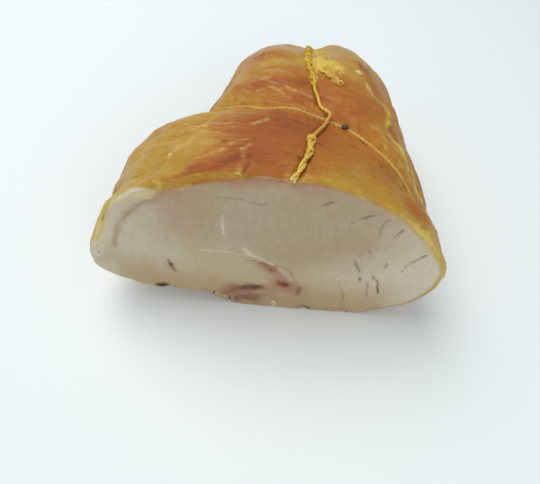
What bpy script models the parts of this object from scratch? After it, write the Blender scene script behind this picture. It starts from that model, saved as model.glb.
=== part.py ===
"""Half of a tied and smoked turkey breast roll, lying on its flat underside.

The front is a plane cut through the whole roll, which leans back a little. Behind it
the skin narrows and turns to the right, to a waist that a loop of twine pulls in, and
ends in two lobes with a cleft that the lengthwise twine pulls in.

Axes: +X to the right along the cut face, +Y back from the face along the roll, +Z up.
The origin is under the middle of the piece, on the surface that it rests on.
"""
from collections import namedtuple
from math import pi, radians, tan

import bmesh
import bpy
import numpy as np

MM = 0.001

# Driving dimensions
WIDTH = 182.7 * MM
HEIGHT = 97.5 * MM
LENGTH = 173.0 * MM
FACE_LEAN = tan(radians(6.0))
TWINE_RADIUS = 0.95 * MM
GAP = 0.3 * MM

# Middle of the finished piece before it is set on the origin
MIDDLE_X = 1.65 * MM
MIDDLE_Y = -1.9 * MM

# Rings and columns of the skin, and rings inside the cut face
SKIN_RINGS = 35
TOP_COLUMNS = 50
LOW_COLUMNS = 28
FACE_RINGS = (0.97, 0.82, 0.62, 0.38)

# Fullness of the round sections: 2 is an ellipse, more is squarer
FULL_TOP = 1.95
FULL_LOW_LEFT = 1.2
FULL_LOW_RIGHT = 2.6
SUNK_BELOW_FLOOR = 4.6 * MM
CORE_HEIGHT = 39.0 * MM
REAR_ROUNDING_FROM = 0.70
REAR_FULLNESS = 2.3
REAR_POINT_FROM = 0.94

# One slanted section through the roll. along runs from 0 at the face to 1 at the rear.
# back_* are shares of LENGTH, side_* of half the width, and heights are shares of HEIGHT.
Section = namedtuple(
    "Section", "along back_left back_right side_left side_right crown tip_left tip_right lean")

SECTIONS = (
    Section(0.00, 0.000, 0.000, -0.985, 1.000, 1.000, 0.287, 0.420, FACE_LEAN),
    Section(0.18, 0.133, 0.081, -0.930, 0.987, 0.995, 0.318, 0.420, 0.6 * FACE_LEAN),
    Section(0.34, 0.318, 0.150, -0.882, 0.969, 0.969, 0.349, 0.410, 0.0),
    Section(0.42, 0.439, 0.185, -0.794, 0.952, 0.949, 0.369, 0.410, -0.07),
    Section(0.50, 0.555, 0.225, -0.547, 0.940, 0.923, 0.379, 0.400, -0.12),
    Section(0.62, 0.671, 0.393, -0.443, 0.881, 0.903, 0.379, 0.400, -0.10),
    Section(0.78, 0.809, 0.653, -0.372, 0.845, 0.862, 0.369, 0.390, -0.05),
    Section(1.00, 1.006, 0.994, -0.252, 0.835, 0.779, 0.359, 0.369, 0.0),
)

# Where the loop of twine crosses each angle of the section, as degrees and along
LOOP_ROUTE = (
    (0, 0.360), (20, 0.440), (35, 0.505), (55, 0.530), (80, 0.551), (110, 0.515),
    (140, 0.525), (180, 0.530), (270, 0.470), (360, 0.360),
)

# The lengthwise twine from its cut end at the face over the top to the rear:
# along, degrees round the section, radius in millimetres, lift in millimetres
TOP_ROUTE = (
    (-0.010, 83.0, 1.8, 0.9), (0.07, 81.5, 1.8, 0.9), (0.16, 80.5, 1.8, 0.9),
    (0.24, 79.6, 2.1, 0.9), (0.29, 79.5, 1.5, 0.8), (0.34, 79.7, 2.2, 0.9),
    (0.385, 80.0, 1.2, 0.9), (0.43, 80.6, 0.95, 0.9), (0.49, 84.0, 0.95, 1.0),
    (0.53, 83.2, 0.95, 1.8), (0.559, 81.6, 0.95, 2.6), (0.567, 83.5, 0.95, 2.0),
    (0.573, 86.0, 0.95, 1.2), (0.59, 87.3, 0.95, 0.5), (0.615, 88.4, 0.95, 0.3),
    (0.644, 90.2, 1.2, 0.3), (0.667, 90.8, 1.7, 0.4), (0.69, 91.7, 1.7, 0.4),
    (0.727, 94.0, 1.3, 0.3), (0.755, 95.8, 1.9, 0.4), (0.79, 97.2, 2.3, 0.5),
    (0.85, 98.8, 2.3, 0.5), (0.90, 98.0, 1.7, 0.2), (0.94, 95.0, 0.95, 0.0),
    (0.97, 93.0, 0.95, 0.0), (0.99, 92.0, 0.95, 0.0), (1.0, 92.0, 0.95, 0.0),
)
UNDER_DEGREES = 272.0
UNDER_POINTS = 12
UNDER_FROM = 0.1
UNDER_STEPS = 80
LOOP_LIFT = -0.3 * MM
FLOOR_GAP = 0.15 * MM
CROSSING_GAP = 0.6 * MM
HUMP_WIDTH = 5.5 * MM

# Distance between the points of each twine
LOOP_SPACING = 4.2 * MM
LENGTHWISE_SPACING = 3.4 * MM
FRAYED_SPACING = 2.5 * MM

# The frayed end of twine beside the thick stretch, in the same terms as TOP_ROUTE
FRAYED_ROUTE = (
    (0.728, 90.4, 0.9, 0.9), (0.715, 87.3, 1.1, 0.9), (0.706, 84.4, 1.1, 0.9),
    (0.694, 82.0, 1.4, 0.9), (0.684, 79.2, 1.0, 0.9), (0.664, 76.6, 0.6, 0.8),
)

# How far the twine pulls the skin in, and over what width
LOOP_DENT, LOOP_DENT_WIDTH = 3.0 * MM, 10.0 * MM
CLEFT_DENT, TOP_DENT, CLEFT_WIDTH = 6.7 * MM, 1.2 * MM, 11.5 * MM

# Uneven swelling of the skin: height, and three directions with their wavelengths
SWELLS = (
    (0.8 * MM, (0.9, 0.35, 0.2), 46 * MM), (0.6 * MM, (-0.3, 0.9, 0.4), 33 * MM),
    (0.5 * MM, (0.5, -0.6, 0.7), 24 * MM), (0.3 * MM, (0.7, 0.7, -0.2), 15 * MM),
)

# Folds of the skin: along, degrees, how far they reach each way, and height
Fold = namedtuple("Fold", "along degrees reach_along reach_degrees height")
FOLDS = (
    Fold(0.04, 131, 0.06, 13, 1.6 * MM), Fold(0.16, 150, 0.06, 26, -1.6 * MM),
    Fold(0.30, 156, 0.08, 14, 2.0 * MM), Fold(0.66, 42, 0.10, 6, 1.9 * MM),
    Fold(0.72, 28, 0.12, 7, -1.6 * MM), Fold(0.60, 14, 0.10, 9, 1.8 * MM),
    Fold(0.82, 60, 0.06, 10, 1.3 * MM), Fold(0.29, 35, 0.17, 15, -4.2 * MM),
    Fold(0.00, 26, 0.12, 12, -2.4 * MM),
)

# Crags in the lower edge of the cut face: place across, half width and height, in mm
CRAGS = (
    (-60, 5, 1.8), (-38, 15, 3.4), (-31, 4, 2.0), (-19, 4, 2.6), (19, 3, 1.8), (38, 4, 2.2),
    (62, 6, 1.2),
)
CRAG_REACH = 0.07

# The seam round the left lobe and the slit in the lower middle of the face: points
# across and up the face, in mm, and the radius that each is cut with
FACE_SEAM = (
    (-49, 79), (-56, 76), (-62, 71), (-67, 64), (-70, 56), (-72, 48), (-74, 41),
)
FACE_SEAM_RADIUS = 1.0 * MM
FACE_SLIT = ((-14, 15), (-9, 16.5), (-4, 17), (1, 16))
FACE_SLIT_RADIUS = 1.5 * MM
CUT_PAST_FACE = 4.0 * MM
WELD = 0.01 * MM


def smooth_table(places, values, at):
    """Read a smooth curve through a table, without overshoot between its entries."""
    places, values = np.asarray(places, float), np.asarray(values, float)
    step = np.diff(places)
    rise = np.diff(values, axis=0) / step[:, None]
    slope = np.zeros_like(values)
    before, after = rise[:-1], rise[1:]
    same_way = before * after > 0
    total = np.where(same_way, before + after, 1.0)
    slope[1:-1] = np.where(same_way, 2 * before * after / total, 0.0)
    slope[0], slope[-1] = rise[0], rise[-1]
    cell = np.clip(np.searchsorted(places, at, side="right") - 1, 0, len(step) - 1)
    s = ((at - places[cell]) / step[cell])[..., None]
    h = step[cell][..., None]
    return (values[cell] * (1 + 2 * s) * (1 - s) ** 2 + slope[cell] * h * s * (1 - s) ** 2
            + values[cell + 1] * s * s * (3 - 2 * s) + slope[cell + 1] * h * s * s * (s - 1))


def tight_skin(along, angle):
    """The skin before the twine dents it, for arrays of along and angle in radians."""
    table = np.array(SECTIONS)
    row = smooth_table(table[:, 0], table[:, 1:], along)
    back_left, back_right, left, right, crown, tip_left, tip_right, lean = np.moveaxis(row, -1, 0)
    left, right = left * WIDTH / 2, right * WIDTH / 2
    across, up = np.cos(angle), np.sin(angle)
    low = np.where(across < 0, FULL_LOW_LEFT, FULL_LOW_RIGHT)
    power = 2 / np.where(up >= 0, FULL_TOP, low)
    reach = np.sign(across) * np.abs(across) ** power
    tip = (tip_left + (tip_right - tip_left) * (1 + reach) / 2) * HEIGHT
    end = np.where(up >= 0, crown * HEIGHT, -SUNK_BELOW_FLOOR)
    z = tip + (end - tip) * np.abs(up) ** power
    past = np.clip((along - REAR_ROUNDING_FROM) / (1 - REAR_ROUNDING_FROM), 0, 1)
    shrink = np.sqrt(1 - past ** REAR_FULLNESS)
    z = CORE_HEIGHT + (z - CORE_HEIGHT) * shrink
    x = (left + right) / 2 + (right - left) / 2 * reach * shrink
    back = back_left + (back_right - back_left) * (1 + reach * shrink) / 2
    y = (back - 0.5) * LENGTH + lean * z
    return np.stack([x, y, z], -1)


def outward(along, angle):
    """Unit normals of the tight skin, pointing out."""
    step = 1e-3
    inner = np.clip(along, 0.0, 1.0 - 2 * step)
    fore = tight_skin(inner + step, angle) - tight_skin(inner, angle)
    turn = tight_skin(inner, angle + step) - tight_skin(inner, angle - step)
    normal = np.cross(fore, turn)
    normal /= np.maximum(np.linalg.norm(normal, axis=-1, keepdims=True), 1e-12)
    at_rear = np.clip((along - REAR_POINT_FROM) / (1 - REAR_POINT_FROM), 0, 1)[..., None]
    normal = normal * (1 - at_rear) + np.array([0.0, 1.0, 0.0]) * at_rear
    return normal / np.linalg.norm(normal, axis=-1, keepdims=True)


def away_from(points, path):
    """Distance of each point from a path of straight runs."""
    nearest = np.full(points.shape[:-1], 1.0)
    for start, end in zip(path[:-1], path[1:]):
        run = end - start
        share = np.clip((points - start) @ run / max(run @ run, 1e-12), 0, 1)
        gap = np.linalg.norm(points - start - share[..., None] * run, axis=-1)
        nearest = np.minimum(nearest, gap)
    return nearest


def loop_places(count):
    """Along and angle of points spread round the loop of twine, the last on the first."""
    angle = np.linspace(0, 2 * pi, count)
    route = np.array(LOOP_ROUTE)
    along = smooth_table(np.radians(route[:, 0]), route[:, 1:], angle)[..., 0]
    return along, angle


def route_places(route, per_run):
    """Smooth values read along a route: along, angle in radians, radius and lift."""
    route = np.array(route)
    index = np.arange(len(route))
    at = np.linspace(0, index[-1], (len(route) - 1) * per_run + 1)
    along, degrees, radius, lift = np.moveaxis(smooth_table(index, route, at), -1, 0)
    return along, np.radians(degrees), radius * MM, lift * MM


LOOP_LINE = tight_skin(*loop_places(73))
TOP_LINE = tight_skin(*route_places(TOP_ROUTE, 2)[:2])
UNDER_ALONG = np.linspace(1.0, 0.0, UNDER_POINTS)
UNDER_LINE = tight_skin(UNDER_ALONG, np.full(UNDER_POINTS, radians(UNDER_DEGREES)))


def relief(along, angle, points):
    """Height of the skin's swells and folds above the smooth form."""
    height = np.zeros(points.shape[:-1])
    for size, direction, wavelength in SWELLS:
        height += size * np.sin(points @ np.array(direction) * 2 * pi / wavelength)
    degrees = np.degrees(angle) % 360
    for fold in FOLDS:
        off_along = (along - fold.along) / fold.reach_along
        off_angle = (degrees - fold.degrees) / fold.reach_degrees
        height += fold.height * np.exp(-off_along ** 2 - off_angle ** 2)
    return height * np.clip(1.15 - along ** 3, 0, 1)


def skin(along, angle):
    """The finished skin: dented by the twine, swollen, folded and flat underneath."""
    points = tight_skin(along, angle)
    normal = outward(along, angle)
    rear = smooth_table(np.array([0.0, 0.5, 0.8, 1.0]), np.array([[0], [0], [1], [1]]), along)[..., 0]
    cleft = TOP_DENT + (CLEFT_DENT - TOP_DENT) * rear
    line = np.vstack([TOP_LINE, UNDER_LINE])
    dent = (LOOP_DENT * np.exp(-(away_from(points, LOOP_LINE) / LOOP_DENT_WIDTH) ** 2)
            + cleft * np.exp(-(away_from(points, line) / CLEFT_WIDTH) ** 2))
    points = points + normal * (relief(along, angle, points) - dent)[..., None]
    near_face = np.clip(1 - along / CRAG_REACH, 0, 1)
    under = (np.sin(angle) < 0) * near_face
    for place, half_width, height in CRAGS:
        off = (points[..., 0] - place * MM) / (half_width * MM)
        points[..., 2] += under * height * MM * np.exp(-off ** 2)
    points[..., 2] = np.maximum(points[..., 2], 0.0)
    return points


def face_relief(x, z):
    """Shallow waves of the cut face, as distance behind its plane."""
    return 0.3 * MM * (np.sin(x / (13 * MM) + 1.0) * np.sin(z / (11 * MM)) + 1.0)


def material(name, colour, roughness):
    """A plain Principled material."""
    made = bpy.data.materials.new(name)
    made.use_nodes = True
    shader = made.node_tree.nodes["Principled BSDF"]
    shader.inputs["Base Color"].default_value = (*colour, 1.0)
    shader.inputs["Roughness"].default_value = roughness
    shader.inputs["Metallic"].default_value = 0.0
    return made


def add_object(name, data, carrier):
    """Put a mesh or a curve into the scene under a name, carried by the empty."""
    thing = bpy.data.objects.new(name, data)
    thing.parent = carrier
    bpy.context.scene.collection.objects.link(thing)
    return thing


def add_piece(name, data, carrier, finish):
    """Add one piece of the real thing, with its material."""
    data.materials.append(finish)
    return add_object(name, data, carrier)


def meat_mesh():
    """Closed mesh of the meat: rings of skin, the rear point and the cut face."""
    share = np.linspace(0, 1, SKIN_RINGS)
    forward = share / 0.62 * REAR_ROUNDING_FROM
    rounding = np.sin(np.clip((share - 0.62) / 0.38, 0, 1) * pi / 2)
    ring_along = np.where(share < 0.62, forward,
                          REAR_ROUNDING_FROM + (1 - REAR_ROUNDING_FROM) * rounding)
    column = np.concatenate([np.linspace(0, pi, TOP_COLUMNS, endpoint=False),
                             np.linspace(pi, 2 * pi, LOW_COLUMNS, endpoint=False)])
    columns = len(column)
    along, angle = np.meshgrid(ring_along[:-1], column, indexing="ij")
    rings = skin(along, angle)
    rear = skin(np.array([1.0]), np.array([pi / 2]))[0]
    edge = rings[0]
    centre = edge.mean(axis=0)
    mesh = bmesh.new()
    skin_rows = [[mesh.verts.new(point) for point in ring] for ring in rings]
    face_rows = [skin_rows[0]]
    for size in FACE_RINGS:
        inner = centre + (edge - centre) * size
        inner[:, 1] += face_relief(inner[:, 0], inner[:, 2])
        face_rows.append([mesh.verts.new(point) for point in inner])
    for rows, turn in ((skin_rows, 1), (face_rows, -1)):
        for near, far in zip(rows[:-1], rows[1:]):
            for here in range(columns):
                there = (here + 1) % columns
                corners = (near[here], near[there], far[there], far[here])
                mesh.faces.new(corners[::turn])
    for row, point in ((skin_rows[-1], rear), (face_rows[-1], centre)):
        tip = mesh.verts.new(point)
        for here in range(columns):
            mesh.faces.new((row[here], row[(here + 1) % columns], tip))
    bmesh.ops.triangulate(mesh, faces=mesh.faces[:])
    bmesh.ops.recalc_face_normals(mesh, faces=mesh.faces[:])
    data = bpy.data.meshes.new("turkey_meat")
    mesh.to_mesh(data)
    mesh.free()
    return data


def twine_curve(name, points, radii, closed, grow=0.0):
    """A round bevelled curve through the points, each with its own radius."""
    data = bpy.data.curves.new(name, "CURVE")
    data.dimensions = "3D"
    data.bevel_depth = 1.0
    data.bevel_resolution = 2
    data.use_fill_caps = not closed
    data.twist_mode = "MINIMUM"
    spline = data.splines.new("POLY")
    spline.points.add(len(points) - 1)
    for point, place, radius in zip(spline.points, points, radii):
        point.co = (*place, 1.0)
        point.radius = radius + grow
    spline.use_cyclic_u = closed
    return data


def on_skin(along, angle, lift):
    """Centre points of twine that lies on the finished skin, with a lift above it."""
    inner = np.clip(along, 0.0, 1.0)
    points = skin(inner, angle) + outward(inner, angle) * lift[..., None]
    points[:, 1] += np.minimum(along, 0.0) * LENGTH
    return points


def spread(points, radii, spacing):
    """Points and radii read again at an even spacing along the path."""
    run = np.linalg.norm(np.diff(points, axis=0), axis=1)
    place = np.concatenate([[0.0], np.cumsum(run)])
    at = np.linspace(0, place[-1], round(place[-1] / spacing) + 1)
    columns = [np.interp(at, place, values) for values in (*points.T, radii)]
    return np.stack(columns[:3], -1), columns[3]


def loop_twine():
    """Points and radii of the closed loop, sunk a little into the skin."""
    along, angle = loop_places(241)
    points = on_skin(along, angle, np.full_like(angle, LOOP_LIFT))
    points[:, 2] = np.maximum(points[:, 2], TWINE_RADIUS + FLOOR_GAP)
    points, radii = spread(points, np.full(len(points), TWINE_RADIUS), LOOP_SPACING)
    return points[:-1], radii[:-1]


def lifted_over(points, radii, path):
    """Raise a twine in a low hump wherever it comes close to another one."""
    raised = points.copy()
    for place, radius, point in zip(points, radii, raised):
        near = path[np.argmin(np.linalg.norm(path - place, axis=1))]
        need = radius + TWINE_RADIUS + CROSSING_GAP
        level = np.linalg.norm((place - near)[:2])
        if abs(place[2] - near[2]) < 2 * need and level < 3 * HUMP_WIDTH:
            hump = need * np.exp(-(level / HUMP_WIDTH) ** 2)
            point[2] = max(place[2], near[2] + hump)
    return raised


def lengthwise_twine():
    """Points and radii from the cut end over the top, down the cleft and underneath."""
    along, angle, radii, lift = route_places(TOP_ROUTE, 6)
    top = on_skin(along, angle, lift)
    under_along = 1 - np.linspace(UNDER_FROM, 1.0, UNDER_STEPS) ** 2
    under_angle = np.full_like(under_along, radians(UNDER_DEGREES))
    under = on_skin(under_along, under_angle, np.zeros_like(under_along))
    under[:, 2] = np.maximum(under[:, 2], TWINE_RADIUS + FLOOR_GAP)
    points = np.vstack([top, under])
    radii = np.concatenate([radii, np.full(len(under), TWINE_RADIUS)])
    loop, _ = loop_twine()
    closed_loop, _ = spread(np.vstack([loop, loop[:1]]), np.zeros(len(loop) + 1), TWINE_RADIUS)
    return spread(lifted_over(points, radii, closed_loop), radii, LENGTHWISE_SPACING)


def frayed_twine():
    """Points and radii of the short frayed end beside the thick stretch."""
    along, angle, radii, lift = route_places(FRAYED_ROUTE, 4)
    return spread(on_skin(along, angle, lift), radii, FRAYED_SPACING)


def face_line(points):
    """Points given across and up the cut face, on its plane."""
    across, up = np.array(points, float).T * MM
    return np.stack([across, up * FACE_LEAN - LENGTH / 2, up], -1)


def cutter(name, points, radii, carrier, closed=False):
    """A tube that only cuts, made from a bevelled curve."""
    curve = twine_curve(name + "_line", points, radii, closed, grow=GAP)
    guide = add_object(name + "_line", curve, None)
    bpy.context.view_layer.update()
    evaluated = guide.evaluated_get(bpy.context.evaluated_depsgraph_get())
    data = bpy.data.meshes.new_from_object(evaluated)
    bpy.data.objects.remove(guide)
    mesh = bmesh.new()
    mesh.from_mesh(data)
    bmesh.ops.remove_doubles(mesh, verts=mesh.verts[:], dist=WELD)
    mesh.to_mesh(data)
    mesh.free()
    tool = add_object(name, data, carrier)
    tool.hide_render = True
    tool.display_type = "WIRE"
    return tool


def cut(body, tool):
    """Take one tool's volume away from the body."""
    step = body.modifiers.new(tool.name, "BOOLEAN")
    step.operation = "DIFFERENCE"
    step.solver = "EXACT"
    step.object = tool


def past_the_end(points, radii, length):
    """The same path, run on in front of its first point."""
    first = points[0] + (points[0] - points[1]) / np.linalg.norm(points[0] - points[1]) * length
    return np.vstack([first, points]), np.concatenate([[radii[0]], radii])


def build():
    """Make the meat and its twine."""
    for thing in list(bpy.data.objects):
        bpy.data.objects.remove(thing)
    carrier = add_object("turkey_origin", None, None)
    carrier.location = (-MIDDLE_X, -MIDDLE_Y, 0.0)
    skin_brown = material("smoked_skin", (0.40, 0.15, 0.045), 0.42)
    twine_yellow = material("smoked_twine", (0.62, 0.40, 0.10), 0.75)
    meat = add_piece("turkey_meat", meat_mesh(), carrier, skin_brown)
    twines = (
        ("twine_loop", loop_twine(), True),
        ("twine_lengthwise", lengthwise_twine(), False),
        ("twine_frayed_end", frayed_twine(), False),
    )
    for name, (points, radii), closed in twines:
        curve = twine_curve(name, points, radii, closed)
        add_piece(name, curve, carrier, twine_yellow)
        if name == "twine_lengthwise":
            points, radii = past_the_end(points, radii, CUT_PAST_FACE)
        cut(meat, cutter(name + "_groove", points, radii, carrier, closed))
    for name, route, radius in (("lobe_seam", FACE_SEAM, FACE_SEAM_RADIUS),
                                ("meat_slit", FACE_SLIT, FACE_SLIT_RADIUS)):
        points = face_line(route)
        cut(meat, cutter(name, points, np.full(len(points), radius), carrier))


build()
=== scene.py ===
"""Looks of the smoked turkey piece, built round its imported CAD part.

The forms are the ones of the CAD part, worked out again with many more points: the
skin as slanted sections along the roll, the cut face, and the runs of twine on the
skin. Marks give the stains, creases, cracks and folds their places: (along, degrees)
on the skin and (across, up) in millimetres on the cut face.
"""
import logging
from dataclasses import dataclass, field
from enum import Enum
from math import pi, radians, tan
from typing import Callable, NamedTuple

import bpy
import numpy as np
from mathutils import Matrix, Vector
from mathutils.geometry import delaunay_2d_cdt


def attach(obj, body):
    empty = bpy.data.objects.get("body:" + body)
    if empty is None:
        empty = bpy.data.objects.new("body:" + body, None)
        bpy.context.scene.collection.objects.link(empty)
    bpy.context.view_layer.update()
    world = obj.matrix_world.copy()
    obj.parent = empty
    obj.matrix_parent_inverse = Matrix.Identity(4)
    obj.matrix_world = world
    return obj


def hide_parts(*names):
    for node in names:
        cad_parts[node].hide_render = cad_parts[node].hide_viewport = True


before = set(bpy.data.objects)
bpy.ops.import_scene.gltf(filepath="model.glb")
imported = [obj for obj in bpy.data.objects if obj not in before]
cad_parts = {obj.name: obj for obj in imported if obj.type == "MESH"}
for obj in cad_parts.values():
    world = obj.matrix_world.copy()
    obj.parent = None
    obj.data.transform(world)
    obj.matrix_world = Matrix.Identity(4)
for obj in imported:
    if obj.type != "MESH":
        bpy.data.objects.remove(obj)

LOG = logging.getLogger("turkey")
MM = 0.001
# How strongly the painted shade darkens the hollows between the plies of a twine
CREVICE_SHADE_DEPTH = 1.6
# Places of the Mix node's sockets for colours, whose names repeat
MIX_SHARE, MIX_FIRST, MIX_SECOND, MIX_COLOUR = 0, 6, 7, 2
Array = np.ndarray
Pair = tuple[float, float]
Point = tuple[float, float, float]
Colour = tuple[float, ...]
Route = tuple[tuple[float, ...], ...]


class Slot(Enum):
    """The material slots."""

    MEAT = "smoked_turkey"
    TWINE = "butchers_twine"


class Tint(Enum):
    """What a mark does to the colour of the meat under it."""

    SMOKE = "smoke"
    FAT = "fat"
    PALE = "pale"
    DARK = "dark"
    BLOOD = "blood"
    SHADE = "shade"
    WHITE = "white"
    CREAM = "cream"
    ROSE = "rose"
    SEAM = "seam"
    CRACK = "crack"
    PLUM = "plum"
    WAXY = "waxy"


Tints = dict[Tint, Array]


class Mark(NamedTuple):
    """A soft stain, crease or ridge along a route on the meat; some marks paint shade, shadow, sheen or
    highlight.

    width and depth are in millimetres. A positive depth raises the surface.
    """

    tint: Tint
    width: float
    amount: float
    depth: float
    route: Route


class Section(NamedTuple):
    """One slanted section through the roll.

    along runs from 0 at the face to 1 at the rear. back_* are shares of the length,
    side_* of half the width, and heights are shares of the height.
    """

    along: float
    back_left: float
    back_right: float
    side_left: float
    side_right: float
    crown: float
    tip_left: float
    tip_right: float
    lean: float


class Fold(NamedTuple):
    """A swelling or hollow of the skin, with its reach each way and its height."""

    along: float
    degrees: float
    reach_along: float
    reach_degrees: float
    height: float

    def at(self, along: Array, degrees: Array) -> Array:
        """The fold's height in millimetres at each place."""
        off_along = (along - self.along) / self.reach_along
        off_degrees = (degrees - self.degrees) / self.reach_degrees
        return self.height * np.exp(-off_along ** 2 - off_degrees ** 2)


class Pattern(NamedTuple):
    """A noise pattern of a material.

    detail is how many finer sizes are added, rough is how strong they are, twist is how
    far the pattern is bent by itself, and lay stretches it each way.
    """

    size: float
    detail: float = 2.0
    rough: float = 0.5
    twist: float = 0.0
    lay: tuple[float, ...] = ()


def smooth_table(places: Array, values: Array, at: Array) -> Array:
    """Read a smooth curve through a table, without overshoot between its entries.

    Args:
        places: Where each row of the table stands.
        values: The rows.
        at: Where to read.

    Returns:
        One row of values for each place in at.
    """
    places, values = np.asarray(places, float), np.asarray(values, float)
    step = np.diff(places)
    rise = np.diff(values, axis=0) / step[:, None]
    slope = np.zeros_like(values)
    before, after = rise[:-1], rise[1:]
    same_way = before * after > 0
    total = np.where(same_way, before + after, 1.0)
    slope[1:-1] = np.where(same_way, 2 * before * after / total, 0.0)
    slope[0], slope[-1] = rise[0], rise[-1]
    cell = np.clip(np.searchsorted(places, at, side="right") - 1, 0, len(step) - 1)
    s = ((at - places[cell]) / step[cell])[..., None]
    h = step[cell][..., None]
    return (values[cell] * (1 + 2 * s) * (1 - s) ** 2 + slope[cell] * h * s * (1 - s) ** 2
            + values[cell + 1] * s * s * (3 - 2 * s) + slope[cell + 1] * h * s * s * (s - 1))


def away_from(points: Array, path: Array) -> Array:
    """Distance of each point from a path of straight runs, or from a single point.

    Args:
        points: Points, with their coordinates on the last axis.
        path: One or more points of the path.

    Returns:
        The distances, in the points' units.
    """
    if len(path) == 1:
        return np.linalg.norm(points - path[0], axis=-1)
    nearest = np.full(points.shape[:-1], np.inf)
    for start, end in zip(path[:-1], path[1:]):
        run = end - start
        share = np.clip((points - start) @ run / max(run @ run, 1e-12), 0, 1)
        gap = np.linalg.norm(points - start - share[..., None] * run, axis=-1)
        nearest = np.minimum(nearest, gap)
    return nearest


def spread(points: Array, radii: Array, spacing: float) -> tuple[Array, Array]:
    """Read points and radii again at an even spacing along their path.

    Args:
        points: The path.
        radii: A radius for each point.
        spacing: The wanted distance between points.

    Returns:
        The new points and radii.
    """
    run = np.linalg.norm(np.diff(points, axis=0), axis=1)
    place = np.concatenate([[0.0], np.cumsum(run)])
    at = np.linspace(0, place[-1], round(place[-1] / spacing) + 1)
    columns = [np.interp(at, place, values) for values in (*points.T, radii)]
    return np.stack(columns[:3], -1), columns[3]


def placed(name: str, data: bpy.types.ID) -> bpy.types.Object:
    """Put a mesh, a lamp or the camera into the scene."""
    thing = bpy.data.objects.new(name, data)
    bpy.context.scene.collection.objects.link(thing)
    return thing


def bell(away: Array, width: float) -> Array:
    """A soft hump that is 1 at no distance."""
    return np.exp(-(away / width) ** 2)


def ease(low: float, high: float, value: Array) -> Array:
    """Rise smoothly from 0 at low to 1 at high."""
    share = np.clip((value - low) / (high - low), 0, 1)
    return share * share * (3 - 2 * share)


def humps(across: Array, rows: Route) -> Array:
    """Sum of humps along one direction, each with its place, half width and height."""
    return sum(height * bell(across - place, half_width)
               for place, half_width, height in rows)


@dataclass(frozen=True)
class Grain:
    """Smooth noise through space, the same each time for the same seed.

    size is the distance over which the coarsest detail changes, and steps is how many
    sizes of detail there are, each weaker than the one before.
    """

    seed: int
    size: float
    steps: int = 3
    cells: int = 32
    weaker: float = 1.8
    evened: float = 1.5

    def plain(self, places: Array, halved: int = 0) -> Array:
        """Read one size of detail.

        Args:
            places: Points to read it at.
            halved: How many times the size is halved.

        Returns:
            Values between -1 and 1.
        """
        chance = np.random.default_rng(self.seed + halved)
        lattice = chance.uniform(-1, 1, (self.cells,) * 3)
        grid = places / (self.size / 2 ** halved)
        cell = np.floor(grid).astype(int)
        part = grid - cell
        part = part * part * (3 - 2 * part)
        total = np.zeros(places.shape[:-1])
        for corner in np.ndindex(2, 2, 2):
            weight = np.prod(np.where(corner, part, 1 - part), axis=-1)
            x, y, z = np.moveaxis((cell + corner) % self.cells, -1, 0)
            total += weight * lattice[x, y, z]
        return total

    def fine(self, places: Array) -> Array:
        """All sizes of detail together, mostly between -1 and 1."""
        return sum(self.plain(places, step) / self.weaker ** step
                   for step in range(self.steps)) / self.evened


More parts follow.
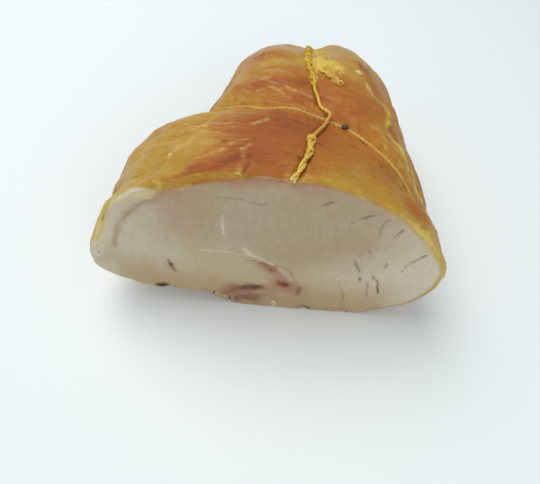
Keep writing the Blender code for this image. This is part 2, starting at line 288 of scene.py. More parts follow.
@dataclass(frozen=True)
class Roll:
    """The form of the roll and the routes of its twine, as in the CAD part."""

    width: float = 182.7 * MM
    height: float = 97.5 * MM
    length: float = 173.0 * MM
    face_lean: float = tan(radians(6.0))
    twine_radius: float = 0.95 * MM
    middle: Point = (1.65 * MM, -1.9 * MM, 0.0)
    full_top: float = 1.95
    full_low_left: float = 1.2
    full_low_right: float = 2.6
    sunk_below_floor: float = 4.6 * MM
    core_height: float = 39.0 * MM
    rear_rounding_from: float = 0.70
    rear_fullness: float = 2.3
    rear_point_from: float = 0.94
    loop_dent: float = 3.0 * MM
    loop_dent_width: float = 10.0 * MM
    cleft_dent: float = 6.7 * MM
    top_dent: float = 1.2 * MM
    cleft_width: float = 11.5 * MM
    cleft_deepens: Pair = (0.5, 0.8)
    relief_reach: float = 1.15
    crag_reach: float = 0.07
    loop_lift: float = -0.3 * MM
    floor_gap: float = 0.15 * MM
    crossing_gap: float = 0.6 * MM
    hump_width: float = 5.5 * MM
    under_degrees: float = 272.0
    under_from: float = 0.1
    # How many points the lines of twine have: the loop, each run of a route, and underneath
    loop_count: int = 241
    top_per_run: int = 6
    frayed_per_run: int = 4
    under_count: int = 80
    # The same for the coarser lines that dent the skin
    dent_loop_count: int = 73
    dent_per_run: int = 2
    dent_under_count: int = 12
    sections: tuple[Section, ...] = (
        Section(0.00, 0.000, 0.000, -0.985, 1.000, 1.000, 0.287, 0.420, tan(radians(6.0))),
        Section(0.18, 0.133, 0.081, -0.930, 0.987, 0.995, 0.318, 0.420, 0.063),
        Section(0.34, 0.318, 0.150, -0.882, 0.969, 0.969, 0.349, 0.410, 0.0),
        Section(0.42, 0.439, 0.185, -0.794, 0.952, 0.949, 0.369, 0.410, -0.07),
        Section(0.50, 0.555, 0.225, -0.547, 0.940, 0.923, 0.379, 0.400, -0.12),
        Section(0.62, 0.671, 0.393, -0.443, 0.881, 0.903, 0.379, 0.400, -0.10),
        Section(0.78, 0.809, 0.653, -0.372, 0.845, 0.862, 0.369, 0.390, -0.05),
        Section(1.00, 1.006, 0.994, -0.252, 0.835, 0.779, 0.359, 0.369, 0.0),
    )
    # Degrees and along
    loop_route: Route = (
        (0, 0.36), (20, 0.44), (35, 0.505), (55, 0.53), (80, 0.551), (110, 0.515), (140, 0.525),
        (180, 0.53), (270, 0.47), (360, 0.36),
    )
    # Along, degrees, radius and lift in millimetres
    top_route: Route = (
        (-0.01, 83, 1.8, 0.9), (0.07, 81.5, 1.8, 0.9), (0.16, 80.5, 1.8, 0.9),
        (0.24, 79.6, 2.1, 0.9), (0.29, 79.5, 1.5, 0.8), (0.34, 79.7, 2.2, 0.9),
        (0.385, 80, 1.2, 0.9), (0.43, 80.6, 0.95, 0.9), (0.49, 84, 0.95, 1),
        (0.53, 83.2, 0.95, 1.8), (0.559, 81.6, 0.95, 2.6), (0.567, 83.5, 0.95, 2),
        (0.573, 86, 0.95, 1.2), (0.59, 87.3, 0.95, 0.5), (0.615, 88.4, 0.95, 0.3),
        (0.644, 90.2, 1.2, 0.3), (0.667, 90.8, 1.7, 0.4), (0.69, 91.7, 1.7, 0.4),
        (0.727, 94, 1.3, 0.3), (0.755, 95.8, 1.9, 0.4), (0.79, 97.2, 2.3, 0.5),
        (0.85, 98.8, 2.3, 0.5), (0.9, 98, 1.7, 0.2), (0.94, 95, 0.95, 0), (0.97, 93, 0.95, 0),
        (0.99, 92, 0.95, 0), (1, 92, 0.95, 0),
    )
    frayed_route: Route = (
        (0.728, 90.4, 0.9, 0.9), (0.715, 87.3, 1.1, 0.9), (0.706, 84.4, 1.1, 0.9),
        (0.694, 82, 1.4, 0.9), (0.684, 79.2, 1, 0.9), (0.664, 76.6, 0.6, 0.8),
    )
    # Height and wavelength in millimetres, and a direction
    swells: tuple[tuple[float, float, Point], ...] = (
        (0.8, 46, (0.9, 0.35, 0.2)), (0.6, 33, (-0.3, 0.9, 0.4)), (0.5, 24, (0.5, -0.6, 0.7)),
        (0.3, 15, (0.7, 0.7, -0.2)),
    )
    # Heights in millimetres
    folds: tuple[Fold, ...] = (
        Fold(0.04, 131, 0.06, 13, 1.6), Fold(0.16, 150, 0.06, 26, -1.6),
        Fold(0.3, 156, 0.08, 14, 2), Fold(0.66, 42, 0.1, 6, 1.9), Fold(0.72, 28, 0.12, 7, -1.6),
        Fold(0.6, 14, 0.1, 9, 1.8), Fold(0.82, 60, 0.06, 10, 1.3), Fold(0.29, 35, 0.17, 15, -4.2),
        Fold(0, 26, 0.12, 12, -2.4),
    )
    # Place across, half width and height, in millimetres
    crags: Route = (
        (-60, 5, 1.8), (-38, 15, 3.4), (-31, 4, 2), (-19, 4, 2.6), (19, 3, 1.8), (38, 4, 2.2),
        (62, 6, 1.2),
    )

    def tight_skin(self, along: Array, angle: Array) -> Array:
        """The skin before the twine dents it.

        Args:
            along: From 0 at the face to 1 at the rear.
            angle: Angle round the section, in radians from the right.

        Returns:
            Points of the skin.
        """
        table = np.array(self.sections)
        row = smooth_table(table[:, 0], table[:, 1:], along)
        back_left, back_right, left, right, crown, tip_left, tip_right, lean = (
            np.moveaxis(row, -1, 0))
        left, right = left * self.width / 2, right * self.width / 2
        across, up = np.cos(angle), np.sin(angle)
        low = np.where(across < 0, self.full_low_left, self.full_low_right)
        power = 2 / np.where(up >= 0, self.full_top, low)
        reach = np.sign(across) * np.abs(across) ** power
        tip = (tip_left + (tip_right - tip_left) * (1 + reach) / 2) * self.height
        end = np.where(up >= 0, crown * self.height, -self.sunk_below_floor)
        z = tip + (end - tip) * np.abs(up) ** power
        past = np.clip((along - self.rear_rounding_from) / (1 - self.rear_rounding_from), 0, 1)
        shrink = np.sqrt(1 - past ** self.rear_fullness)
        z = self.core_height + (z - self.core_height) * shrink
        x = (left + right) / 2 + (right - left) / 2 * reach * shrink
        back = back_left + (back_right - back_left) * (1 + reach * shrink) / 2
        y = (back - 0.5) * self.length + lean * z
        return np.stack([x, y, z], -1)

    def outward(self, along: Array, angle: Array) -> Array:
        """Unit normals of the tight skin, pointing out.

        Args:
            along: From 0 at the face to 1 at the rear.
            angle: Angle round the section, in radians.

        Returns:
            One normal for each place.
        """
        step = 1e-3
        inner = np.clip(along, 0.0, 1.0 - 2 * step)
        fore = self.tight_skin(inner + step, angle) - self.tight_skin(inner, angle)
        turn = self.tight_skin(inner, angle + step) - self.tight_skin(inner, angle - step)
        normal = np.cross(fore, turn)
        normal /= np.maximum(np.linalg.norm(normal, axis=-1, keepdims=True), 1e-12)
        at_rear = ease(self.rear_point_from, 1.0, along)[..., None]
        normal = normal * (1 - at_rear) + np.array([0.0, 1.0, 0.0]) * at_rear
        return normal / np.linalg.norm(normal, axis=-1, keepdims=True)

    def read_route(self, route: Route, per_run: int) -> tuple[Array, Array, Array, Array]:
        """Smooth values read along a route.

        Args:
            route: Rows of along, degrees, radius and lift.
            per_run: How many readings there are from one row to the next.

        Returns:
            Along, angle in radians, and radius and lift in metres.
        """
        rows = np.array(route)
        index = np.arange(len(rows))
        at = np.linspace(0, index[-1], (len(rows) - 1) * per_run + 1)
        along, degrees, radius, lift = np.moveaxis(smooth_table(index, rows, at), -1, 0)
        return along, np.radians(degrees), radius * MM, lift * MM

    def loop_places(self, count: int) -> tuple[Array, Array]:
        """Along and angle of points spread round the loop, the last on the first.

        Args:
            count: How many points.

        Returns:
            Along, and angle in radians.
        """
        angle = np.linspace(0, 2 * pi, count)
        route = np.array(self.loop_route)
        along = smooth_table(np.radians(route[:, 0]), route[:, 1:], angle)[..., 0]
        return along, angle

    def dents(self) -> tuple[Array, Array]:
        """The tight lines that the loop and the lengthwise twine pull in."""
        under = np.linspace(1.0, 0.0, self.dent_under_count)
        top = self.tight_skin(*self.read_route(self.top_route, self.dent_per_run)[:2])
        low = self.tight_skin(under, np.full(len(under), radians(self.under_degrees)))
        loop = self.tight_skin(*self.loop_places(self.dent_loop_count))
        return loop, np.vstack([top, low])

    def relief(self, along: Array, angle: Array, points: Array) -> Array:
        """Height of the skin's swells and folds above the smooth form.

        Args:
            along: From 0 at the face to 1 at the rear.
            angle: Angle round the section, in radians.
            points: The tight skin there.

        Returns:
            Heights in metres.
        """
        height = np.zeros(points.shape[:-1])
        for size, wavelength, direction in self.swells:
            height += size * np.sin(points @ np.array(direction) * 2 * pi / (wavelength * MM))
        degrees = np.degrees(angle) % 360
        height += sum(fold.at(along, degrees) for fold in self.folds)
        return height * MM * np.clip(self.relief_reach - along ** 3, 0, 1)

    def skin(self, along: Array, angle: Array, extra: Array | float = 0.0) -> Array:
        """The finished skin: dented by the twine, swollen, folded and flat underneath.

        Args:
            along: From 0 at the face to 1 at the rear.
            angle: Angle round the section, in radians.
            extra: Further height in metres, for finer relief.

        Returns:
            Points of the skin.
        """
        points = self.tight_skin(along, angle)
        normal = self.outward(along, angle)
        rear = ease(*self.cleft_deepens, along)
        loop, lengthwise = self.dents()
        cleft = self.top_dent + (self.cleft_dent - self.top_dent) * rear
        dent = (self.loop_dent * bell(away_from(points, loop), self.loop_dent_width)
                + cleft * bell(away_from(points, lengthwise), self.cleft_width))
        height = self.relief(along, angle, points) - dent + extra
        points = points + normal * height[..., None]
        under = (np.sin(angle) < 0) * np.clip(1 - along / self.crag_reach, 0, 1)
        points[..., 2] += under * humps(points[..., 0] / MM, self.crags) * MM
        points[..., 2] = np.maximum(points[..., 2], 0.0)
        return points

    def on_skin(self, along: Array, angle: Array, lift: Array) -> Array:
        """Centre points of twine that lies on the skin.

        Args:
            along: From 0 at the face to 1 at the rear, below 0 in front of the face.
            angle: Angle round the section, in radians.
            lift: Height of each point above the skin.

        Returns:
            The points.
        """
        inner = np.clip(along, 0.0, 1.0)
        points = self.skin(inner, angle) + self.outward(inner, angle) * lift[..., None]
        points[:, 1] += np.minimum(along, 0.0) * self.length
        return points

    def loop_line(self) -> Array:
        """The closed centre line of the loop, with the last point on the first."""
        along, angle = self.loop_places(self.loop_count)
        points = self.on_skin(along, angle, np.full_like(angle, self.loop_lift))
        points[:, 2] = np.maximum(points[:, 2], self.twine_radius + self.floor_gap)
        return points

    def lengthwise_line(self) -> tuple[Array, Array]:
        """Centre points and radii of the lengthwise twine, over the top and underneath."""
        along, angle, radii, lift = self.read_route(self.top_route, self.top_per_run)
        top = self.on_skin(along, angle, lift)
        under_along = 1 - np.linspace(self.under_from, 1.0, self.under_count) ** 2
        under_angle = np.full_like(under_along, radians(self.under_degrees))
        under = self.on_skin(under_along, under_angle, np.zeros_like(under_along))
        under[:, 2] = np.maximum(under[:, 2], self.twine_radius + self.floor_gap)
        points = np.vstack([top, under])
        radii = np.concatenate([radii, np.full(len(under), self.twine_radius)])
        loop = self.loop_line()
        for place, radius in zip(points, radii):
            near = loop[np.argmin(np.linalg.norm(loop - place, axis=1))]
            need = radius + self.twine_radius + self.crossing_gap
            level = np.linalg.norm((place - near)[:2])
            if abs(place[2] - near[2]) < 2 * need and level < 3 * self.hump_width:
                place[2] = max(place[2], near[2] + need * bell(level, self.hump_width))
        return points, radii

    def frayed_line(self) -> tuple[Array, Array]:
        """Centre points and radii of the frayed end beside the thick stretch."""
        along, angle, radii, lift = self.read_route(self.frayed_route, self.frayed_per_run)
        return self.on_skin(along, angle, lift), radii

    def face_point(self, across: Array, up: Array) -> Array:
        """Points on the plane of the cut face, from millimetres across and above the floor."""
        across, up = np.asarray(across, float) * MM, np.asarray(up, float) * MM
        return np.stack([across, up * self.face_lean - self.length / 2, up], -1)


@dataclass(frozen=True)
class Term:
    """A socket of a material's nodes, which Python's operators work on."""

    net: "Net"
    socket: bpy.types.NodeSocket

    def _math(self, operation: str, *values: "Term | float") -> "Term":
        """Add a Math node that works on these values."""
        return self.net.node("ShaderNodeMath", {"operation": operation},
                             dict(enumerate(values)))

    def __add__(self, other: "Term | float") -> "Term":
        """self + other."""
        return self._math("ADD", self, other)

    def __radd__(self, other: float) -> "Term":
        """other + self."""
        return self._math("ADD", other, self)

    def __sub__(self, other: "Term | float") -> "Term":
        """self - other."""
        return self._math("SUBTRACT", self, other)

    def __rsub__(self, other: float) -> "Term":
        """other - self."""
        return self._math("SUBTRACT", other, self)

    def __mul__(self, other: "Term | float") -> "Term":
        """self * other."""
        return self._math("MULTIPLY", self, other)

    def __rmul__(self, other: float) -> "Term":
        """other * self."""
        return self._math("MULTIPLY", other, self)

    def clear_of(self, low: float, high: float) -> "Term":
        """Rise smoothly from 0 where this is low to 1 where it is high."""
        settings = {"interpolation_type": "SMOOTHSTEP"}
        inputs = {"Value": self, "From Min": low, "From Max": high}
        return self.net.node("ShaderNodeMapRange", settings, inputs)

    def held(self) -> "Term":
        """This value kept between 0 and 1."""
        return self.net.node("ShaderNodeClamp", {}, {"Value": self})

    def spread(self, noise: "Term", most: float, uneven: float = 1.6) -> "Term":
        """This value with uneven edges, where it shows at all, and no more than most."""
        return ((self * (1 + noise * uneven)).held() * most).held()


class Net:
    """The nodes of one material, with its Principled shader."""

    def __init__(self, name: str) -> None:
        """Make a new material.

        Args:
            name: What the material is called.
        """
        self.material = bpy.data.materials.new(name)
        self.material.use_nodes = True
        self.tree = self.material.node_tree
        self.shader = self.tree.nodes["Principled BSDF"]

    def feed(self, socket: bpy.types.NodeSocket, value: object) -> None:
        """Link a term to a socket, or set the socket's own value."""
        if isinstance(value, Term):
            self.tree.links.new(value.socket, socket)
        else:
            socket.default_value = value

    def node(self, kind: str, settings: dict[str, object], inputs: dict[int | str, object],
             output: int | str = 0) -> Term:
        """Add a node.

        Args:
            kind: The node's type.
            settings: Its settings, which are set first.
            inputs: Values or terms for its inputs.
            output: Which output to give back.

        Returns:
            That output.
        """
        made = self.tree.nodes.new(kind)
        for name, value in settings.items():
            setattr(made, name, value)
        for key, value in inputs.items():
            self.feed(made.inputs[key], value)
        return Term(self, made.outputs[output])

    def value(self, name: str) -> Term:
        """Read a named value of the mesh."""
        return self.node("ShaderNodeAttribute", {"attribute_name": name}, {}, "Fac")

    def vector(self, name: str) -> Term:
        """Read a named vector of the mesh."""
        return self.node("ShaderNodeAttribute", {"attribute_name": name}, {}, "Vector")

    def place(self) -> Term:
        """The place in the object's own space, in metres."""
        return self.node("ShaderNodeTexCoord", {}, {}, "Object")

    def noise(self, vector: Term, pattern: Pattern) -> Term:
        """A pattern of noise between 0 and 1.

        Args:
            vector: Where to read it.
            pattern: The pattern.

        Returns:
            The noise.
        """
        if pattern.lay:
            vector = self.node("ShaderNodeVectorMath", {"operation": "MULTIPLY"},
                               {0: vector, 1: pattern.lay})
        return self.node("ShaderNodeTexNoise", {"noise_dimensions": "3D"},
                         {"Vector": vector, "Scale": 1 / pattern.size, "Detail": pattern.detail,
                          "Roughness": pattern.rough, "Distortion": pattern.twist})

    def wave(self, vector: Term, pattern: Pattern) -> Term:
        """A pattern of noise between -0.5 and 0.5."""
        return self.noise(vector, pattern) - 0.5

    def mix(self, first: object, second: object, share: Term | float) -> Term:
        """Mix two colours: the first where share is 0 and the second where it is 1."""
        inputs = {MIX_SHARE: share, MIX_FIRST: first, MIX_SECOND: second}
        return self.node("ShaderNodeMix", {"data_type": "RGBA"}, inputs, MIX_COLOUR)

    def ramp(self, value: Term, stops: tuple[tuple[float, Colour], ...]) -> Term:
        """Turn a value into a colour through a row of stops.

        Args:
            value: From 0 to 1.
            stops: Each a place and the colour there.

        Returns:
            The colour.
        """
        colour = stops[0][1]
        for (low, _), (high, after) in zip(stops[:-1], stops[1:]):
            colour = self.mix(colour, after, value.clear_of(low, high))
        return colour

    def bump(self, height: Term, distance: float, strength: float = 1.0) -> Term:
        """Turn a height into a bent normal, where a height of 1 stands for distance."""
        return self.node("ShaderNodeBump", {},
                         {"Height": height, "Distance": distance, "Strength": strength})

    def finish(self, **inputs: object) -> bpy.types.Material:
        """Feed the Principled shader's sockets by name, with _ for a space."""
        for name, value in inputs.items():
            self.feed(self.shader.inputs[name.replace("_", " ")], value)
        return self.material


def srgb(red: int, green: int, blue: int) -> Colour:
    """A colour as seen on a screen, from 0 to 255, turned into Blender's own values."""
    parts = [part / 255 for part in (red, green, blue)]
    return (*(part / 12.92 if part <= 0.04045 else ((part + 0.055) / 1.055) ** 2.4
              for part in parts), 1.0)


@dataclass(frozen=True)
class MeatFinish:
    """Smoked skin, from pale gold to red brown, and the pale flesh of the cut."""

    smoke: tuple[tuple[float, Colour], ...] = (
        (0.0, srgb(200, 166, 76)), (0.35, srgb(190, 143, 54)), (0.6, srgb(180, 113, 38)),
        (0.85, srgb(166, 88, 33)), (1.0, srgb(144, 72, 30)),
    )
    yellow_fat: Colour = srgb(197, 154, 64)
    bright_fat: Colour = srgb(218, 186, 82)
    pale_skin_and_sheen: Colour = srgb(188, 160, 128)
    flesh: Colour = srgb(216, 205, 181)
    flesh_shade: Colour = srgb(183, 160, 129)
    cream: Colour = srgb(190, 169, 124)
    rose: Colour = srgb(182, 142, 114)
    # Tints that go over skin and flesh, with how uneven their edges are; besides stains, they carry
    # painted shade, shadow and highlight
    stains_and_painted_light: tuple[tuple[Tint, Colour, float], ...] = (
        (Tint.WAXY, srgb(236, 212, 130), 1.2), (Tint.SEAM, srgb(164, 136, 98), 0.5),
        (Tint.PLUM, srgb(128, 88, 70), 0.8), (Tint.BLOOD, srgb(128, 58, 34), 0.9),
        (Tint.WHITE, srgb(232, 224, 204), 0.5), (Tint.CRACK, srgb(130, 114, 90), 0.6),
        (Tint.DARK, srgb(72, 50, 36), 0.4),
    )
    stain_most: float = 0.9
    pale_most: float = 0.75
    # Where the patterns of smoke and fat start and end to show
    fat_shows: Pair = (0.18, 0.75)
    bright_shows: Pair = (0.7, 1.15)
    flesh_shows: Pair = (0.1, 0.9)
    fat_most: float = 0.85
    broad: Pattern = Pattern(18 * MM, 3)
    streak: Pattern = Pattern(2.6 * MM, 5, 0.62, 0.5, (1.0, 0.16, 1.0))
    mottle: Pattern = Pattern(4 * MM, 6, 0.62, 0.3)
    grain: Pattern = Pattern(0.8 * MM, 3, 0.6)
    speck: Pattern = Pattern(1.5 * MM, 4, 0.7, 0.4, (1.0, 0.45, 1.0))
    fibre: Pattern = Pattern(2.2 * MM, 5, 0.62, 0.6, (1.0, 1.0, 0.3))
    cloud: Pattern = Pattern(26 * MM, 3)
    ridge: Pattern = Pattern(1.4 * MM, 4, 0.62, 0.6, (1.0, 0.3, 1.0))
    dullness: float = 0.50
    coat: float = 0.06
    relief: float = 0.66 * MM
    relief_strength: float = 0.9
    glow: float = 0.14
    glow_depth: float = 2.5 * MM
    glow_radius: Point = (1.0, 0.45, 0.25)

    def material(self) -> bpy.types.Material:
        """Make the material of the meat."""
        net = Net(Slot.MEAT.value)
        place, lie = net.place(), net.vector("lie")
        broad, cloud = net.wave(place, self.broad), net.wave(place, self.cloud)
        mottle, grain = net.wave(place, self.mottle), net.wave(place, self.grain)
        streak, speck = net.wave(lie, self.streak), net.wave(lie, self.speck)
        fibre, ridges = net.wave(place, self.fibre), net.noise(lie, self.ridge)
        smoke = (net.value("smoke") + broad * 0.24 + streak * 0.44 + mottle * 0.26
                 + speck * 0.44)
        skin = net.ramp(smoke, self.smoke)
        # Pale tint: the membrane's own colour, and painted sheen on the lobes
        pale = net.value("pale").spread(mottle * 0.8, self.pale_most)
        skin = net.mix(skin, self.pale_skin_and_sheen, pale)
        fat = net.value("fat") + streak * 0.8 + mottle * 0.8 + speck * 0.7
        skin = net.mix(skin, self.yellow_fat, fat.clear_of(*self.fat_shows) * self.fat_most)
        skin = net.mix(skin, self.bright_fat, fat.clear_of(*self.bright_shows))
        shade = (net.value("shade") + cloud * 0.5 + fibre * 0.5 + mottle * 0.3).held()
        flesh = net.mix(self.flesh, self.flesh_shade, shade)
        flesh = net.mix(flesh, self.cream, (net.value("cream") + cloud * 0.3).held())
        flesh = net.mix(flesh, self.rose, (net.value("rose") + mottle * 0.25).held())
        is_flesh = (net.value("flesh") + mottle * 0.3).clear_of(*self.flesh_shows)
        colour = net.mix(skin, flesh, is_flesh)
        for tint, paint, rough in self.stains_and_painted_light:
            stain = net.value(tint.value).spread(mottle * rough, self.stain_most)
            colour = net.mix(colour, paint, stain)
        height = (ridges * (1 - is_flesh) * 0.8 + fibre * is_flesh * 0.8 + grain * 0.3
                  + mottle * 0.5)
        fatty = net.value("fat").held()
        gloss = self.dullness + mottle * 0.16 + is_flesh * 0.06 - fatty * 0.06
        return net.finish(
            Base_Color=colour, Roughness=gloss,
            Normal=net.bump(height, self.relief, self.relief_strength),
            Coat_Weight=(1 - is_flesh) * self.coat, Coat_Roughness=0.3,
            Specular_IOR_Level=0.3, Subsurface_Weight=self.glow,
            Subsurface_Scale=self.glow_depth, Subsurface_Radius=self.glow_radius, IOR=1.42)


@dataclass(frozen=True)
class TwineFinish:
    """Cotton twine stained by fat and smoke."""

    name: str
    fresh: Colour
    stained: Colour
    smoked: Colour = srgb(178, 120, 44)
    crevice_shade: Colour = srgb(158, 108, 40)
    end: Colour = srgb(228, 206, 150)
    fibre: Pattern = Pattern(0.16 * MM, 3, 0.6, lay=(0.14, 1.0, 1.0))
    patch: Pattern = Pattern(9 * MM, 3, 0.6)
    relief: float = 0.2 * MM

    def material(self) -> bpy.types.Material:
        """Make the material of the twine."""
        net = Net(self.name)
        fibre = net.noise(net.vector("lay"), self.fibre)
        patch = net.noise(net.place(), self.patch)
        colour = net.mix(self.stained, self.fresh, (patch * 1.6 - 0.35 + fibre * 0.3).held())
        colour = net.mix(colour, self.smoked, (net.value("smoked") + patch * 0.3).held()
                         * net.value("smoked"))
        # Painted shade in the hollows between the plies
        colour = net.mix(colour, self.crevice_shade, net.value("deep").clear_of(0.3, 1.0) * 0.7)
        colour = net.mix(colour, self.end, net.value("cut").held())
        return net.finish(Base_Color=colour, Roughness=0.55 + fibre * 0.25,
                          Normal=net.bump(fibre, self.relief, 0.8),
                          Coat_Weight=0.05 + patch * 0.1, Coat_Roughness=0.35)


@dataclass(frozen=True)
class SpeckFinish:
    """A hard, dark or pale crumb."""

    name: str
    light: Colour
    dark: Colour
    mottle: Pattern = Pattern(0.8 * MM, 3, 0.6)
    relief: float = 0.3 * MM

    def material(self) -> bpy.types.Material:
        """Make the material of the crumb."""
        net = Net(self.name)
        mottle = net.noise(net.place(), self.mottle)
        return net.finish(Base_Color=net.mix(self.dark, self.light, mottle), Roughness=0.55,
                          Normal=net.bump(mottle, self.relief, 0.8))


@dataclass
class Shape:
    """Points, faces and named values of a piece while it is made."""

    points: list[Array] = field(default_factory=list)
    faces: list[Array] = field(default_factory=list)
    values: dict[str, list[Array]] = field(default_factory=dict)
    count: int = 0

    def add(self, points: Array, faces: Array, **values: Array) -> None:
        """Add points with their faces and values.

        Args:
            points: New points.
            faces: Rows of three or four indices into these points.
            values: Named values, one or three numbers for each point.
        """
        self.points.append(points)
        self.faces.append(faces + self.count)
        self.count += len(points)
        for name, numbers in values.items():
            self.values.setdefault(name, []).append(np.asarray(numbers, float))

    def tube(self, path: Array, radii: Array, sides: int, closed: bool, middle: Array,
             **values: Array) -> None:
        """Add a round tube along a path, with flat ends unless it is closed.

        Args:
            path: Its centre points.
            radii: Its radius at each.
            sides: How many points there are round it.
            closed: Whether its end joins its start.
            middle: The centre line of the whole twine, point for point.
            values: Further named values, one number for each point of the path.
        """
        rim, turn = rims(path, sides, closed)
        rings = path[:, None] + rim * radii[:, None, None]
        run = np.concatenate([[0], np.cumsum(np.linalg.norm(np.diff(path, axis=0), axis=1))])
        lay = np.stack([np.broadcast_to(run[:, None], rings.shape[:2]),
                        np.cos(turn) * radii[:, None], np.sin(turn) * radii[:, None]], -1)
        # Painted shade: points nearer the twine's middle line, in the hollows between plies, are marked
        # to be darker
        reach = np.linalg.norm(rings - middle[:, None], axis=-1)
        deep = 1 - reach / np.maximum(reach.max(axis=1, keepdims=True), 1e-9)
        self.add(rings.reshape(-1, 3), bands(len(path), sides, closed),
                 lay=lay.reshape(-1, 3), deep=deep.ravel() * CREVICE_SHADE_DEPTH,
                 **{name: np.repeat(numbers, sides) for name, numbers in values.items()})
        column = np.arange(sides)
        fan = np.stack([column, (column + 1) % sides, np.full(sides, sides)], -1)
        for end, cap in () if closed else ((0, fan[:, ::-1]), (-1, fan)):
            self.add(np.vstack([rings[end], path[end]]), cap,
                     lay=np.vstack([lay[end], lay[end][:1]]), deep=np.zeros(sides + 1),
                     **{name: np.full(sides + 1, numbers[end])
                        for name, numbers in values.items()})

    def piece(self, name: str, finish: bpy.types.Material, slot: Slot,
              *nodes: str) -> bpy.types.Object:
        """Make the mesh object, riding on the root body.

        Args:
            name: The piece's name.
            finish: Its material.
            slot: The slot for that finish; not used.
            nodes: The CAD nodes that it stands for.

        Returns:
            The object.
        """
        data = bpy.data.meshes.new(name)
        points = np.vstack(self.points) - np.array(Roll().middle)
        faces = [row for block in self.faces for row in block.tolist()]
        data.from_pydata(points.tolist(), [], faces)
        data.validate()
        data.polygons.foreach_set("use_smooth", np.ones(len(data.polygons), bool))
        for label, blocks in self.values.items():
            numbers = np.concatenate(blocks)
            flat = numbers.ndim == 1
            kind, key = ("FLOAT", "value") if flat else ("FLOAT_VECTOR", "vector")
            data.attributes.new(label, kind, "POINT").data.foreach_set(
                key, numbers.astype(np.float32).ravel())
        data.materials.append(finish)
        thing = placed(name, data)
        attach(thing, "root")
        if nodes:
            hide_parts(*nodes)
        LOG.info("%s: %d points, %d faces", name, len(data.vertices), len(data.polygons))
        return thing


def carried_frame(path: Array, closed: bool) -> tuple[Array, Array]:
    """Two directions square to a path, carried along it without twisting.

    Args:
        path: The path's points.
        closed: Whether the last point joins the first.

    Returns:
        The two directions at each point.
    """
    ahead = np.roll(path, -1, axis=0) - np.roll(path, 1, axis=0)
    if not closed:
        ahead[0], ahead[-1] = path[1] - path[0], path[-1] - path[-2]
    ahead /= np.linalg.norm(ahead, axis=1, keepdims=True)
    side = np.zeros_like(path)
    start = np.cross(ahead[0], (0.0, 0.0, 1.0))
    if np.linalg.norm(start) < 0.1:
        start = np.cross(ahead[0], (0.0, 1.0, 0.0))
    side[0] = start / np.linalg.norm(start)
    for index in range(1, len(path)):
        level = side[index - 1] - ahead[index] * (side[index - 1] @ ahead[index])
        side[index] = level / np.linalg.norm(level)
    over = np.cross(ahead, side)
    if closed:
        last = side[-1] - ahead[0] * (side[-1] @ ahead[0])
        miss = np.arctan2(last @ over[0], last @ side[0])
        turn = (-miss * np.arange(len(path)) / len(path))[:, None]
        side, over = (side * np.cos(turn) + over * np.sin(turn),
                      over * np.cos(turn) - side * np.sin(turn))
    return side, over


def rims(path: Array, sides: int, closed: bool) -> tuple[Array, Array]:
    """Directions of rings of points round a path.

    Args:
        path: The path's points.
        sides: How many points each ring has.
        closed: Whether the last point of the path joins the first.

    Returns:
        A unit direction for each point of each ring, and a ring's angles.
    """
    side, over = carried_frame(path, closed)
    turn = np.linspace(0, 2 * pi, sides, endpoint=False)
    return (side[:, None] * np.cos(turn)[None, :, None]
            + over[:, None] * np.sin(turn)[None, :, None]), turn


def bands(rings: int, sides: int, closed: bool = False) -> Array:
    """Faces that join rings of points.

    Args:
        rings: How many rings there are.
        sides: How many points each ring has.
        closed: Whether the last ring joins the first.

    Returns:
        Rows of four indices.
    """
    here = np.arange(rings if closed else rings - 1)[:, None] * sides
    there = (here + sides) % (rings * sides)
    column, after = np.arange(sides), (np.arange(sides) + 1) % sides
    faces = np.stack([here + column, here + after, there + after, there + column], -1)
    return faces.reshape(-1, 4)


def wound(path: Array, offset: Array, pitch: float, phase: float, closed: bool) -> Array:
    """A path that winds round another one.

    Args:
        path: The path in the middle.
        offset: How far off it the new path runs, at each point.
        pitch: Length of one turn.
        phase: Angle at the start, in radians.
        closed: Whether the path is a loop, which then takes whole turns.

    Returns:
        The wound path.
    """
    side, over = carried_frame(path, closed)
    last = path[:1] if closed else path[-1:]
    steps = np.linalg.norm(np.diff(path, axis=0, append=last), axis=1)
    run = np.concatenate([[0], np.cumsum(steps)[:-1]])
    turns = steps.sum() / pitch
    turns = round(turns) if closed else turns
    angle = (run / steps.sum() * turns * 2 * pi + phase)[:, None]
    return path + (side * np.cos(angle) + over * np.sin(angle)) * offset[:, None]


def marks(tint: Tint, *rows: tuple[float | tuple[float, ...], ...]) -> tuple[Mark, ...]:
    """Marks of one tint, each row a width, an amount, a depth and the route's points."""
    return tuple(Mark(tint, *row[:3], row[3:]) for row in rows)


